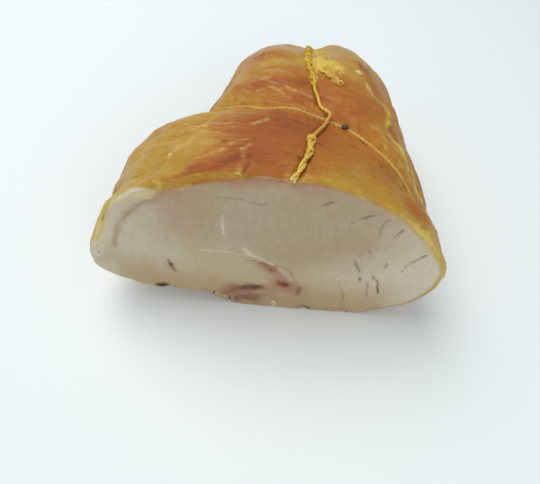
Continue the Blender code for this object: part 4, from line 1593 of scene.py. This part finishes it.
    def skin_points(self, along: Array, angle: Array) -> tuple[Array, Tints]:
        """The skin with all of its relief and tints.

        Args:
            along: From 0 at the face to 1 at the rear.
            angle: Angle round the section, in radians.

        Returns:
            Points, and each tint's strength.
        """
        smooth = self.roll.skin(along, angle)
        values, height = self.mark_values(smooth, self.skin_marks, self.skin_routes())
        crest, crumpled = self.wrinkles(along, angle)
        height += self.skin_relief(along, angle, smooth, crest, crumpled)
        # Painted highlight: the wrinkles' crests made paler; painted shade: their hollows made darker
        values[Tint.WAXY] += self.crest_highlight * crumpled * ease(0.62, 0.98, crest)
        values[Tint.SHADE] += self.hollow_shade * crumpled * ease(0.35, 0.0, crest)
        height = (height * np.clip(1.0 - along ** 6, 0, 1)
                  - self.rear_inset * ease(0.85, 1, along))
        points = self.roll.skin(along, angle, height)
        across = points[:, 0] / MM
        under = (np.sin(angle) < 0) * np.clip(1 - along / self.nick_reach, 0, 1)
        low = ease(0.05, -0.25, np.sin(angle)) * ease(self.droop_reach, 0, along)
        points[:, 2] += under * humps(across, self.nicks) * MM
        points[:, 2] -= low * humps(across, self.droops) * MM
        return points, values

    def rounding(self, from_edge: Array, radius: Array) -> Array:
        """How far a rounded edge draws in along both of its sides, at a distance from it."""
        left = np.clip(radius - from_edge, 0, None)
        both = left + radius
        return (both - np.sqrt(both ** 2 - 2 * left ** 2)) * self.rim_rounding

    def rim_sides(self, degrees: Array) -> tuple[Array, Array]:
        """How far places round the rim belong to the left lobe and to the right side."""
        return (bell(degrees - 155, 12),
                ease(58, 42, degrees) + ease(320, 335, degrees))

    def golden(self, from_rim: Array, flesh: Array, degrees: Array) -> Array:
        """How much fat shows along the rim of the cut, where it isn't flesh.

        Args:
            from_rim: Distances from the middle of the rim.
            flesh: How much each place is flesh.
            degrees: Angle round the section, in degrees.

        Returns:
            The strength of the fat.
        """
        left, right = self.rim_sides(degrees)
        even, more_right, more_left = self.golden_strength
        strength = even + more_right * right + more_left * left
        return bell(from_rim, self.golden_width) * (1 - flesh) * strength

    def tint_skin_rim(self, values: Tints, from_edge: Array, flesh: Array,
                      degrees: Array) -> None:
        """Add the rim's golden fat and its paler strips, partly pale fat and partly painted light, to the
        skin's tints.

        Args:
            values: The tints, which are changed.
            from_edge: Distances from the edge.
            flesh: How much each place is flesh.
            degrees: Angle round the section, in degrees.
        """
        values[Tint.FAT] += self.golden(from_edge + self.golden_off, flesh, degrees)
        # Paler strips at the left lobe and the right: pale fat, and at the left lobe also painted light
        # where the strip faces away from the lamps
        values[Tint.WAXY] += (0.65 * bell(degrees - 157, 13) * bell(from_edge, 9 * MM)
                              + 0.28 * bell(degrees - 16, 22) * bell(from_edge, 3.5 * MM))

    def tint_face_rim(self, values: Tints, inset: Array, flesh: Array,
                      degrees: Array) -> None:
        """Add the rim's fat and its paler strips, partly painted light, and the painted shade along the
        lower edge to the face's tints.

        Args:
            values: The tints, which are changed.
            inset: Distances from the edge.
            flesh: How much each place is flesh.
            degrees: Angle of the nearest place of the edge, in degrees.
        """
        left, right = self.rim_sides(degrees)
        lower = ease(196, 212, degrees) * ease(352, 338, degrees)
        values[Tint.FAT] += self.golden(inset - self.golden_off, flesh, degrees)
        # Painted light: less smoke and more waxy tint make the strips paler, most at the left lobe, where
        # they face away from the lamps
        values[Tint.SMOKE] -= (left * 0.6 + right * 0.2) * ease(0, 3 * MM, inset)
        values[Tint.WAXY] += (1 - flesh) * (left + right * 0.3)
        # Painted shade: a darker band along the lower edge, where the meat meets the floor
        values[Tint.SEAM] += 0.5 * bell(inset - 0.6 * MM, 1.7 * MM) * lower

    def face_map(self, edge: Array) -> tuple[Array, Array]:
        """Points inside the face's edge, in metres across and up, and the triangles.

        Args:
            edge: The edge's points, in metres across and up.

        Returns:
            The points, and triangles between the edge's points followed by these.
        """
        coarse, plain, at_edge, on_mark = self.face_spacings
        fine = [(np.array(mark.route) * MM, mark.width * MM) for mark in self.face_marks
                if mark.width < self.face_fine_width]
        closed = np.vstack([edge, edge[:1]])

        def wanted(place: Array) -> Array:
            """The wanted distance between points, in metres."""
            near = away_from(place, closed) < self.face_edge_reach
            spacing = np.where(near, at_edge, plain)
            for route, width in fine:
                near = away_from(place, route) < self.face_mark_reach * width
                spacing = np.where(near, on_mark, spacing)
            return spacing

        mosaic = Mosaic(tuple(edge.min(axis=0)), tuple(edge.max(axis=0)), coarse)
        places = mosaic.centres(wanted)
        centre = edge.mean(axis=0)

        def polar(spots: Array) -> tuple[Array, Array]:
            """Angle and distance of spots from the face's centre."""
            off = spots - centre
            return np.arctan2(off[:, 1], off[:, 0]), np.linalg.norm(off, axis=1)

        turn, reach = polar(edge)
        order = np.argsort(turn)
        where, far = polar(places)
        inside = far < np.interp(where, turn[order], reach[order], period=2 * pi)
        places = places[inside & (away_from(places, closed) > self.face_edge_gap)]
        return places, triangles(edge, places)

    def face_points(self, inner: Array, edge_back: Array,
                    inset: Array) -> tuple[Array, Tints]:
        """The cut face with its relief and tints, before its edge is rounded.

        Args:
            inner: Its points, in metres across and up.
            edge_back: How far back the nearest place of the edge stands.
            inset: Distances from the edge.

        Returns:
            Points, and each tint's strength.
        """
        across, up = inner.T
        flat = self.roll.face_point(across / MM, up / MM)
        settled = ease(0, self.face_settles, inset)
        points = (np.stack([across, edge_back, up], -1) * (1 - settled)[:, None]
                  + flat * settled[:, None])
        routes = [self.roll.face_point(*np.array(mark.route).T) for mark in self.face_marks]
        values, height = self.mark_values(flat, self.face_marks, routes)
        wide, tall = self.swell_sizes
        swell = self.swell * (np.sin(across / wide + 1.0) * np.sin(up / tall) + 1.0)
        dimples = self.dimpled.fine(flat) * self.dimple
        fibres = self.fibrous.fine(flat * (1.0, 1.0, 0.3)) * self.fibre
        points[:, 1] += (swell - dimples - fibres) * settled - height
        return points, values

    def build(self) -> bpy.types.Object:
        """Make the meat's mesh."""
        place, skin_faces, columns = self.skin_map()
        along, angle = self.from_map(place)
        points, values = self.skin_points(along, angle)
        rear, rear_values = self.skin_points(np.array([1.0]), np.array([pi / 2]))
        edge = points[:columns].copy()
        degrees = np.degrees(angle) % 360
        rim = np.array(self.rim)
        reach, radius = smooth_table(rim[:, 0], rim[:, 1:], degrees).T * MM
        soft = (self.rim_soft[0] + self.rim_soft[1] * bell(degrees - 90, 9)) * MM
        drawn = edge.mean(axis=0) - edge
        drawn /= np.linalg.norm(drawn, axis=1, keepdims=True)
        drawn += (0.0, 1.0, 0.0)

        # The rim's nearest place is known on the skin, and looked for on the face
        turn = np.round(angle / (2 * pi) * columns + columns / 4)
        beside = np.clip(turn, 0, columns - 1).astype(int)
        from_edge = np.linalg.norm(points - edge[beside], axis=1)
        from_edge[:columns] = 0
        points += self.rounding(from_edge, radius)[:, None] * drawn[beside]
        flesh = ease(-1.0, 1.0, (reach - from_edge) / soft)
        inner, face_faces = self.face_map(edge[:, ::2])
        gap = np.linalg.norm(inner[:, None] - edge[None, ::2, ::2], axis=-1)
        near, inset = gap.argmin(axis=1) * 2, gap.min(axis=1)
        face, face_values = self.face_points(inner, edge[near, 1], inset)
        face += self.rounding(inset, radius[near])[:, None] * drawn[near]
        face_flesh = ease(-1.0, 1.0, (reach[near] + inset) / soft[near])

        carried = 1 - ease(0, self.tints_carry, inset)
        for tint in Tint:
            face_values[tint] += values[tint][near] * carried
        self.tint_skin_rim(values, from_edge, flesh, degrees)
        self.tint_face_rim(face_values, inset, face_flesh, degrees[near])
        spots = {tint.value: np.concatenate([values[tint], rear_values[tint], face_values[tint]])
                 for tint in Tint}
        spots[Tint.SMOKE.value] += self.smoke_level
        spots["flesh"] = np.concatenate([flesh, [0.0], face_flesh])
        spots["lie"] = np.concatenate([self.lie(along, angle), np.zeros((1, 3)),
                                       self.lie(-inset / self.roll.length, angle[near])])
        everything = np.vstack([points, rear, face])
        everything[:, 2] = np.maximum(everything[:, 2], 0.0)
        rows = self.faces(place, skin_faces, face_faces, columns)
        used, rows = np.unique(rows, return_inverse=True)
        shape = Shape()
        shape.add(everything[used], rows.reshape(-1, 3),
                  **{name: numbers[used] for name, numbers in spots.items()})
        return shape.piece("turkey_meat_dressed", MeatFinish().material(), Slot.MEAT,
                           "turkey_meat")

    def faces(self, place: Array, skin: Array, face: Array, columns: int) -> Array:
        """The triangles of the whole meat.

        Args:
            place: Points of the skin's map.
            skin: Triangles of the skin's map.
            face: Triangles of the cut face, with the edge's points first.
            columns: How many points the edge has.

        Returns:
            Rows of three indices, for the skin's points, the rear point and the face's.
        """
        pole = len(place)
        last = np.flatnonzero(place[:, 0] > self.map_length * self.last_share - 1e-6)
        last = last[np.argsort(place[last, 1])]
        last[-1] = last[0]
        fan = np.stack([last[:-1], last[1:], np.full(len(last) - 1, pole)], -1)
        inner = pole + 1 + np.arange(face.max() + 1 - columns)
        numbers = np.concatenate([np.arange(columns), inner])
        return np.vstack([skin, fan[:, ::-1], numbers[face]])


@dataclass
class Twine:
    """Butcher's twine: three plies laid round each other."""

    roll: Roll
    finish: bpy.types.Material
    fatty_finish: bpy.types.Material
    plies: int = 3
    ply_off: float = 0.48
    ply_radius: float = 0.5
    pitch: float = 7.5 * MM
    spacing: float = 0.6 * MM
    sides: int = 7
    cut_back: int = 3
    # The doubled tail, and how thin it and the rest are next to the CAD part's twine
    tail_apart: float = 0.70 * MM
    tail_pitch: float = 17 * MM
    tail_share: float = 0.88
    rest_share: float = 0.92
    # How brown the twine is behind its knot, and from where to where that comes and goes
    brown: float = 0.55
    brown_comes: Pair = (0, 5 * MM)
    brown_goes: Pair = (24 * MM, 40 * MM)
    # Knots: along and size; and the turns, points, length, radius and thread of one
    knots: Route = ((0.34, 1.0), (0.24, 0.8))
    knot_turns: float = 2.25
    knot_count: int = 64
    knot_length: float = 3.4 * MM
    knot_radius: float = 1.55 * MM
    knot_thread: float = 0.72 * MM
    knot_lift: float = 0.9 * MM
    knot_crevice_shade: float = 0.4
    # The fibres of the frayed end: how many, how they bend and how thick the first is
    fibres: int = 18
    fibre_bend: float = 4.5 * MM
    fibre_radius: float = 0.26 * MM
    fibre_thins: float = 0.006 * MM

    def cord(self, shape: Shape, path: Array, radius: Array, closed: bool, phase: float = 0.0,
             cut: Array | float = 0.0, smoked: Array | float = 0.0) -> None:
        """Add one cord of three plies along a path.

        Args:
            shape: What to add it to.
            path: Its centre line, at an even spacing.
            radius: Its radius at each point.
            closed: Whether it is a loop.
            phase: Angle at which the plies start.
            cut: How near each point is to a cut end, from 0 to 1.
            smoked: How brown each point is, from 0 to 1.
        """
        cut, smoked = np.full(len(path), cut), np.full(len(path), smoked)
        for ply in range(self.plies):
            line = wound(path, radius * self.ply_off, self.pitch,
                         phase + ply * 2 * pi / self.plies, closed)
            shape.tube(line, radius * self.ply_radius, self.sides, closed, path, cut=cut,
                       smoked=smoked)

    def loop(self) -> bpy.types.Object:
        """Make the loop round the waist."""
        shape = Shape()
        line = self.roll.loop_line()
        path, radii = spread(line, np.full(len(line), self.roll.twine_radius), self.spacing)
        self.cord(shape, path[:-1], radii[:-1], True)
        return shape.piece("twine_loop_dressed", self.finish, Slot.TWINE, "twine_loop")

    def lengthwise(self) -> bpy.types.Object:
        """Make the lengthwise twine, doubled between its knot and its cut end."""
        shape = Shape()
        path, radii = spread(*self.roll.lengthwise_line(), self.spacing)
        path, radii = path[self.cut_back:-1], radii[self.cut_back:-1]
        run = np.arange(len(path)) * self.spacing
        knots = [np.linalg.norm(path - self.knot_place(along), axis=1).argmin()
                 for along, _ in self.knots]
        tail = run < run[knots[0]]
        thin = np.minimum(radii, self.roll.twine_radius)
        cut = 1 - ease(0.6 * MM, 2.4 * MM, run)
        for phase in (0.0, pi):
            apart = np.full(tail.sum(), self.tail_apart)
            strand = wound(path[tail], apart, self.tail_pitch, phase, False)
            self.cord(shape, strand, thin[tail] * self.tail_share, False, phase, cut[tail])
        rest, behind = ~tail, run - run[knots[0]]
        brown = (self.brown * ease(*self.brown_comes, behind)
                 * (1 - ease(*self.brown_goes, behind)))
        self.cord(shape, path[rest], thin[rest] * self.rest_share, False, 0.0, 0.0,
                  brown[rest])
        for at, (_, size) in zip(knots, self.knots):
            self.knot(shape, path, at, size)
        return shape.piece("twine_lengthwise_dressed", self.fatty_finish, Slot.TWINE,
                           "twine_lengthwise")

    def knot_place(self, along: float) -> Array:
        """The point of the lengthwise line at an along value over the top."""
        rows = np.array(self.roll.top_route)
        degrees = np.interp(along, rows[:, 0], rows[:, 1])
        lift = np.array([self.knot_lift])
        return self.roll.on_skin(np.array([along]), np.radians([degrees]), lift)[0]

    def knot(self, shape: Shape, path: Array, at: int, size: float) -> None:
        """Add a knot: a wrap of twine that winds round the line knot_turns times.

        Args:
            shape: What to add it to.
            path: The line.
            at: Index of the knot's middle.
            size: Scale of the knot.
        """
        side, over = carried_frame(path, False)
        ahead = np.cross(side[at], over[at])
        turn = np.linspace(0, 2 * pi * self.knot_turns, self.knot_count)
        off = (turn / turn[-1] - 0.5) * self.knot_length * size
        ring = self.knot_radius * size
        wrap = (path[at] + ahead * off[:, None]
                + side[at] * (np.cos(turn) * ring)[:, None]
                + over[at] * (np.sin(turn) * ring)[:, None])
        thread = np.full(self.knot_count, self.knot_thread * size)
        wrap, radii = spread(wrap, thread, 0.35 * MM)
        # Less painted shade in the hollows of the knot
        before = len(shape.values["deep"])
        self.cord(shape, wrap, radii, False, 0.6)
        deep = shape.values["deep"]
        deep[before:] = [part * self.knot_crevice_shade for part in deep[before:]]

    def frayed_end(self) -> bpy.types.Object:
        """Make the frayed end: loose fibres that wander off a short stretch of twine."""
        shape = Shape()
        line, radii = spread(*self.roll.frayed_line(), 0.5 * MM)
        share = np.linspace(0, 1, len(line))
        self.cord(shape, line, radii * (0.8 - 0.6 * share), False)
        for strand in range(self.fibres):
            grain = [Grain(200 + strand * 3 + axis, self.fibre_bend) for axis in range(3)]
            wander = np.stack([part.plain(line) for part in grain], -1)
            fibre = line + wander * (1, 1, 0.5) * ((0.6 + 2.6 * share) * radii)[:, None]
            keep = slice((strand * 2) % 9, len(line) - (strand * 5) % 13)
            path = fibre[keep]
            thick = np.full(len(path), self.fibre_radius - self.fibre_thins * strand)
            shape.tube(path, thick, 5, False, path, cut=share[keep] * 0.25,
                       smoked=np.zeros(len(path)))
        return shape.piece("twine_frayed_end_dressed", self.fatty_finish, Slot.TWINE,
                           "twine_frayed_end")


@dataclass
class FatSeam:
    """Yellow fat that has set round the twine in the cleft, with loose threads in it."""

    roll: Roll
    finish: bpy.types.Material
    thread_finish: bpy.types.Material
    sides: int = 22
    seam_from: float = 0.60
    seam_to: float = 0.94
    seam_per_run: int = 10
    seam_spacing: float = 0.55 * MM
    seam_sunk: float = 0.3
    seam_lumps: Grain = Grain(77, 2.0 * MM)
    lumps_each: int = 6
    lump_roughness: float = 0.45
    lump_seed: int = 14
    # How far lumps and threads are scattered, as a share of the patch's width
    scatter: float = 0.5
    thread_seed: int = 23
    thread_count: int = 70
    thread_points: int = 24
    thread_bend: float = 2.6 * MM
    thread_drift: float = 1.3 * MM
    round_per_degree: float = 1.39
    pit: Pair = (0.79, 91.5)
    pit_radius: float = 1.9 * MM
    # Along, degrees and width in millimetres
    patch: Route = (
        (0.86, 98, 1.8), (0.825, 96, 2.4), (0.79, 95, 2.4), (0.81, 90, 1.6), (0.765, 92, 2.6),
        (0.775, 87.5, 2.2), (0.75, 88.5, 2.4), (0.742, 84.5, 2.2), (0.735, 91, 2.4),
        (0.724, 87.5, 2.2), (0.72, 84, 2), (0.733, 81, 1.7), (0.71, 92.5, 1.6), (0.716, 80, 1.2),
    )
    # A stray drop of fat by itself, to the right
    drop: Point = (0.740, 65.5, 1.9)

    def seam(self, shape: Shape) -> None:
        """Add the thick stretch as a lumpy tube round the twine."""
        along, angle, radii, lift = self.roll.read_route(self.roll.top_route, self.seam_per_run)
        thick = (along > self.seam_from) & (along < self.seam_to)
        path = self.roll.on_skin(along[thick], angle[thick], lift[thick] * self.seam_sunk)
        path, radii = spread(path, radii[thick], self.seam_spacing)
        ends = np.sin(np.linspace(0, pi, len(path))) ** 0.35
        rim, _ = rims(path, self.sides, False)
        lumps = self.seam_lumps.fine(path[:, None] + rim * 1.5 * MM)
        reach = (radii * ends)[:, None] * (1.0 + 0.75 * lumps)
        rings = path[:, None] + rim * reach[..., None]
        shape.add(rings.reshape(-1, 3), bands(len(path), self.sides))

    def lumps(self, shape: Shape, drop: Shape) -> None:
        """Add the soft lumps of the branch that spreads to the right.

        Args:
            shape: What to add them to.
            drop: What to add the stray drop to.
        """
        chance = np.random.default_rng(self.lump_seed)
        pit = self.roll.skin(np.array([self.pit[0]]), np.radians([self.pit[1]]))[0]
        spots = [self.drop]
        for along, degrees, width in self.patch * self.lumps_each:
            spots.append((*self.scattered(chance, along, degrees, width),
                          width * chance.uniform(0.3, 0.65)))
        for index, (along, degrees, size) in enumerate(spots):
            where = np.array([along]), np.radians([degrees])
            middle = self.roll.skin(*where)[0]
            if np.linalg.norm(middle - pit) < self.pit_radius:
                continue
            ball, faces = rough_ball(100 + index, self.lump_roughness)
            flat = self.roll.outward(*where)[0]
            off = ball * size * MM * (1.25, chance.uniform(0.6, 1.2), 1)
            off -= flat * (off @ flat)[:, None] * 0.5
            target = shape if index else drop
            target.add(middle + off + flat * 0.1 * size * MM, faces)

    def scattered(self, chance: np.random.Generator, along: float, degrees: float,
                  width: float) -> Pair:
        """Along and degrees of a place of the patch, moved at random within its width."""
        return (along + chance.normal(0, self.scatter) * width * MM / self.roll.length,
                degrees + chance.normal(0, self.scatter) * width / self.round_per_degree)

    def threads(self, shape: Shape) -> None:
        """Add the loose threads that wander over the skin at the branch's lower side."""
        chance = np.random.default_rng(self.thread_seed)
        count = self.thread_points
        steps = np.linspace(0, 1, count)
        for index in range(self.thread_count):
            along, degrees, width = self.patch[chance.integers(len(self.patch))]
            along, degrees = self.scattered(chance, along, degrees, width)
            heading = chance.normal(-2.2, 0.9)
            length = chance.uniform(3, 9) * MM
            grain = [Grain(300 + 2 * index + part, self.thread_bend) for part in (0, 1)]
            walk = np.stack([steps * length, np.zeros(count), np.full(count, index * MM)], -1)
            drift = np.stack([part.plain(walk) for part in grain], -1) * self.thread_drift
            down = along + (np.cos(heading) * length * steps + drift[:, 0]) / self.roll.length
            turn = degrees + ((np.sin(heading) * length * steps + drift[:, 1])
                              / (self.round_per_degree * MM))
            lift = (0.2 + chance.uniform(0, 1.1) * np.sin(steps * pi)) * MM
            path = self.roll.on_skin(down, np.radians(turn), lift)
            thick = chance.uniform(0.14, 0.30) * MM
            path, radii = spread(path, np.full(count, thick), 0.4 * MM)
            pale = np.full(len(path), chance.uniform(0, 0.3))
            shape.tube(path, radii, 5, False, path, cut=pale)

    def build(self) -> None:
        """Make the fat and its threads."""
        fat, drop = Shape(), Shape()
        self.seam(fat)
        self.lumps(fat, drop)
        fat.piece("fat_seam", self.finish, Slot.MEAT)
        pale = SpeckFinish("fat_drop", srgb(240, 214, 132), srgb(218, 186, 96))
        drop.piece("fat_drop", pale.material(), Slot.MEAT)
        loose = Shape()
        self.threads(loose)
        loose.piece("loose_threads", self.thread_finish, Slot.TWINE)


@dataclass(frozen=True)
class FatFinish:
    """Soft yellow fat, set and a little waxy."""

    bright: Colour = srgb(222, 188, 60)
    deep: Colour = srgb(184, 142, 46)
    olive: Colour = srgb(142, 112, 46)
    lumps: Pattern = Pattern(2.0 * MM, 5, 0.65)
    stain: Pattern = Pattern(4.5 * MM, 4, 0.6)
    relief: float = 0.7 * MM

    def material(self) -> bpy.types.Material:
        """Make the material of the fat."""
        net = Net("set_fat")
        lumps = net.noise(net.place(), self.lumps)
        stain = net.noise(net.place(), self.stain)
        colour = net.mix(self.deep, self.bright, lumps.clear_of(0.36, 0.56))
        colour = net.mix(colour, self.olive, stain.clear_of(0.54, 0.7) * 0.7)
        return net.finish(Base_Color=colour, Roughness=0.5 + lumps * 0.2,
                          Normal=net.bump(lumps, self.relief, 0.8), Specular_IOR_Level=0.3,
                          Subsurface_Weight=0.15, Subsurface_Scale=1.5 * MM)


def rough_ball(seed: int, roughness: float) -> tuple[Array, Array]:
    """A rough ball of radius 1.

    Args:
        seed: Seed of its roughness.
        roughness: How far its surface moves in and out.

    Returns:
        Its points, and its faces as rows of four indices.
    """
    tall, wide = 12, 18
    polar, turn = np.meshgrid(np.linspace(0, pi, tall), np.linspace(0, 2 * pi, wide, False),
                              indexing="ij")
    ball = np.stack([np.sin(polar) * np.cos(turn), np.sin(polar) * np.sin(turn),
                     np.cos(polar)], -1)
    away_from_zero = 7
    rough = Grain(seed, 0.8).fine(ball + away_from_zero)
    ball = ball * (1 + roughness * rough)[..., None]
    return ball.reshape(-1, 3), np.roll(bands(tall, wide)[:, ::-1], 1, axis=1)


@dataclass
class Crumbs:
    """A peppercorn on the twine, and crumbs of meat at the lower edge of the cut."""

    roll: Roll
    # Place across and height in mm on the face, and the crumb's radius
    places: Route = (
        (7.4, 4.8, 1.5), (7, 1.6, 1.3), (8.6, 3, 1), (16, 1.2, 0.9), (-15.8, 5.4, 0.9),
        (-4.2, 1.4, 0.9), (-2.8, 2, 0.6), (21, 1, 0.7), (-19.6, 6.6, 0.8), (-9, 1, 0.7),
        (-27, 10, 0.9), (-24.6, 8.8, 0.8), (-48.6, 13.2, 0.7), (43.6, 1.2, 0.8), (47.6, 1.4, 0.9),
        (30, 1, 0.6),
    )
    sunk: float = 0.45 * MM
    roughness: float = 0.3
    # Along and degrees of the peppercorn, how far it stands up, and its half sizes in mm
    corn_place: Pair = (0.548, 74.0)
    corn_lift: float = 1.1 * MM
    corn_radii: Point = (1.9, 1.4, 1.2)

    def crumb(self, shape: Shape, middle: Array, radii: Point,
              seed: int) -> None:
        """Add one rough crumb.

        Args:
            shape: What to add it to.
            middle: Its centre.
            radii: Its half sizes in millimetres.
            seed: Seed of its roughness.
        """
        ball, faces = rough_ball(seed, self.roughness)
        points = middle + ball * np.array(radii) * MM
        points[:, 2] = np.maximum(points[:, 2], 0.0)
        shape.add(points, faces)

    def build(self) -> None:
        """Make the peppercorn and the crumbs."""
        along, degrees = self.corn_place
        corn = self.roll.skin(np.array([along]), np.radians([degrees]))[0]
        pepper, pale = Shape(), Shape()
        self.crumb(pepper, corn + np.array([0, 0, self.corn_lift]), self.corn_radii, 5)
        for index, (across, up, size) in enumerate(self.places):
            middle = self.roll.face_point(across, up) + np.array([0, self.sunk, 0])
            self.crumb(pale, middle, (size, size * 0.7, size * 0.8), 20 + index)
        dark_finish = SpeckFinish("peppercorn", srgb(104, 66, 42), srgb(50, 32, 22))
        pale_finish = SpeckFinish("meat_crumb", srgb(236, 220, 176), srgb(206, 182, 130))
        pepper.piece("peppercorn", dark_finish.material(), Slot.MEAT)
        pale.piece("meat_crumbs", pale_finish.material(), Slot.MEAT)


@dataclass
class Studio:
    """The pale floor, the soft light and the camera at the photograph's angle."""

    camera_place: Point = (0.006626, -0.203789, 0.242362)
    camera_right: Point = (0.99630618, 0.08057653, 0.02968844)
    camera_up: Point = (-0.08339508, 0.82546769, 0.55825474)
    camera_back: Point = (0.02047538, -0.55866852, 0.82913825)
    lens: float = 31.296
    sensor: float = 36.0
    clip: Pair = (0.01, 20.0)
    floor_colour: Colour = srgb(246, 250, 250)
    sky_colour: Colour = srgb(236, 246, 250)
    floor_size: float = 3.0
    sky: float = 0.42
    # Name, place, target, size and power
    lamps: tuple[tuple[str, tuple[float, ...], tuple[float, ...], float, float], ...] = (
        ("window", (-0.35, 0.35, 1.05), (0.0, 0.0, 0.04), 0.9, 8.0),
        ("fill", (0.35, -0.85, 0.6), (0.0, 0.0, 0.04), 0.8, 2.8),
    )

    def camera(self) -> None:
        """Place the camera."""
        data = bpy.data.cameras.new("camera")
        data.lens, data.sensor_width = self.lens, self.sensor
        data.clip_start, data.clip_end = self.clip
        thing = placed("camera", data)
        turn = Matrix((self.camera_right, self.camera_up, self.camera_back)).transposed()
        thing.matrix_world = Matrix.Translation(self.camera_place) @ turn.to_4x4()
        bpy.context.scene.camera = thing

    def floor(self) -> None:
        """Make the pale floor."""
        half = self.floor_size / 2
        data = bpy.data.meshes.new("floor")
        data.from_pydata([(-half, -half, 0), (half, -half, 0), (half, half, 0), (-half, half, 0)],
                         [], [(0, 1, 2, 3)])
        net = Net("pale_floor")
        data.materials.append(net.finish(Base_Color=self.floor_colour, Roughness=0.6))
        placed("floor", data)

    def light(self) -> None:
        """Add the lamps and the soft light all round."""
        for name, place, target, size, power in self.lamps:
            data = bpy.data.lights.new(name, "AREA")
            data.shape, data.size, data.energy = "DISK", size, power
            thing = placed(name, data)
            thing.location = place
            aim = Vector(target) - Vector(place)
            thing.rotation_euler = aim.to_track_quat("-Z", "Y").to_euler()
        world = bpy.data.worlds.new("soft_light")
        world.use_nodes = True
        background = world.node_tree.nodes["Background"]
        background.inputs["Color"].default_value = self.sky_colour
        background.inputs["Strength"].default_value = self.sky
        bpy.context.scene.world = world
        bpy.context.scene.view_settings.view_transform = "Standard"

    def build(self) -> None:
        """Set up the whole studio."""
        self.camera()
        self.floor()
        self.light()


def main() -> None:
    """Build each part of the scene."""
    logging.basicConfig(level=logging.INFO, format="%(message)s")
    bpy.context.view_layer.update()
    roll = Roll()
    TurkeyMeat(roll).build()
    smoked = TwineFinish("smoked_twine", srgb(226, 184, 88), srgb(206, 156, 64)).material()
    fatty = TwineFinish("fatty_twine", srgb(242, 208, 88), srgb(224, 180, 64)).material()
    twine = Twine(roll, smoked, fatty)
    twine.loop()
    twine.lengthwise()
    twine.frayed_end()
    FatSeam(roll, FatFinish().material(), fatty).build()
    Crumbs(roll).build()
    Studio().build()


if __name__ == "__main__":
    main()
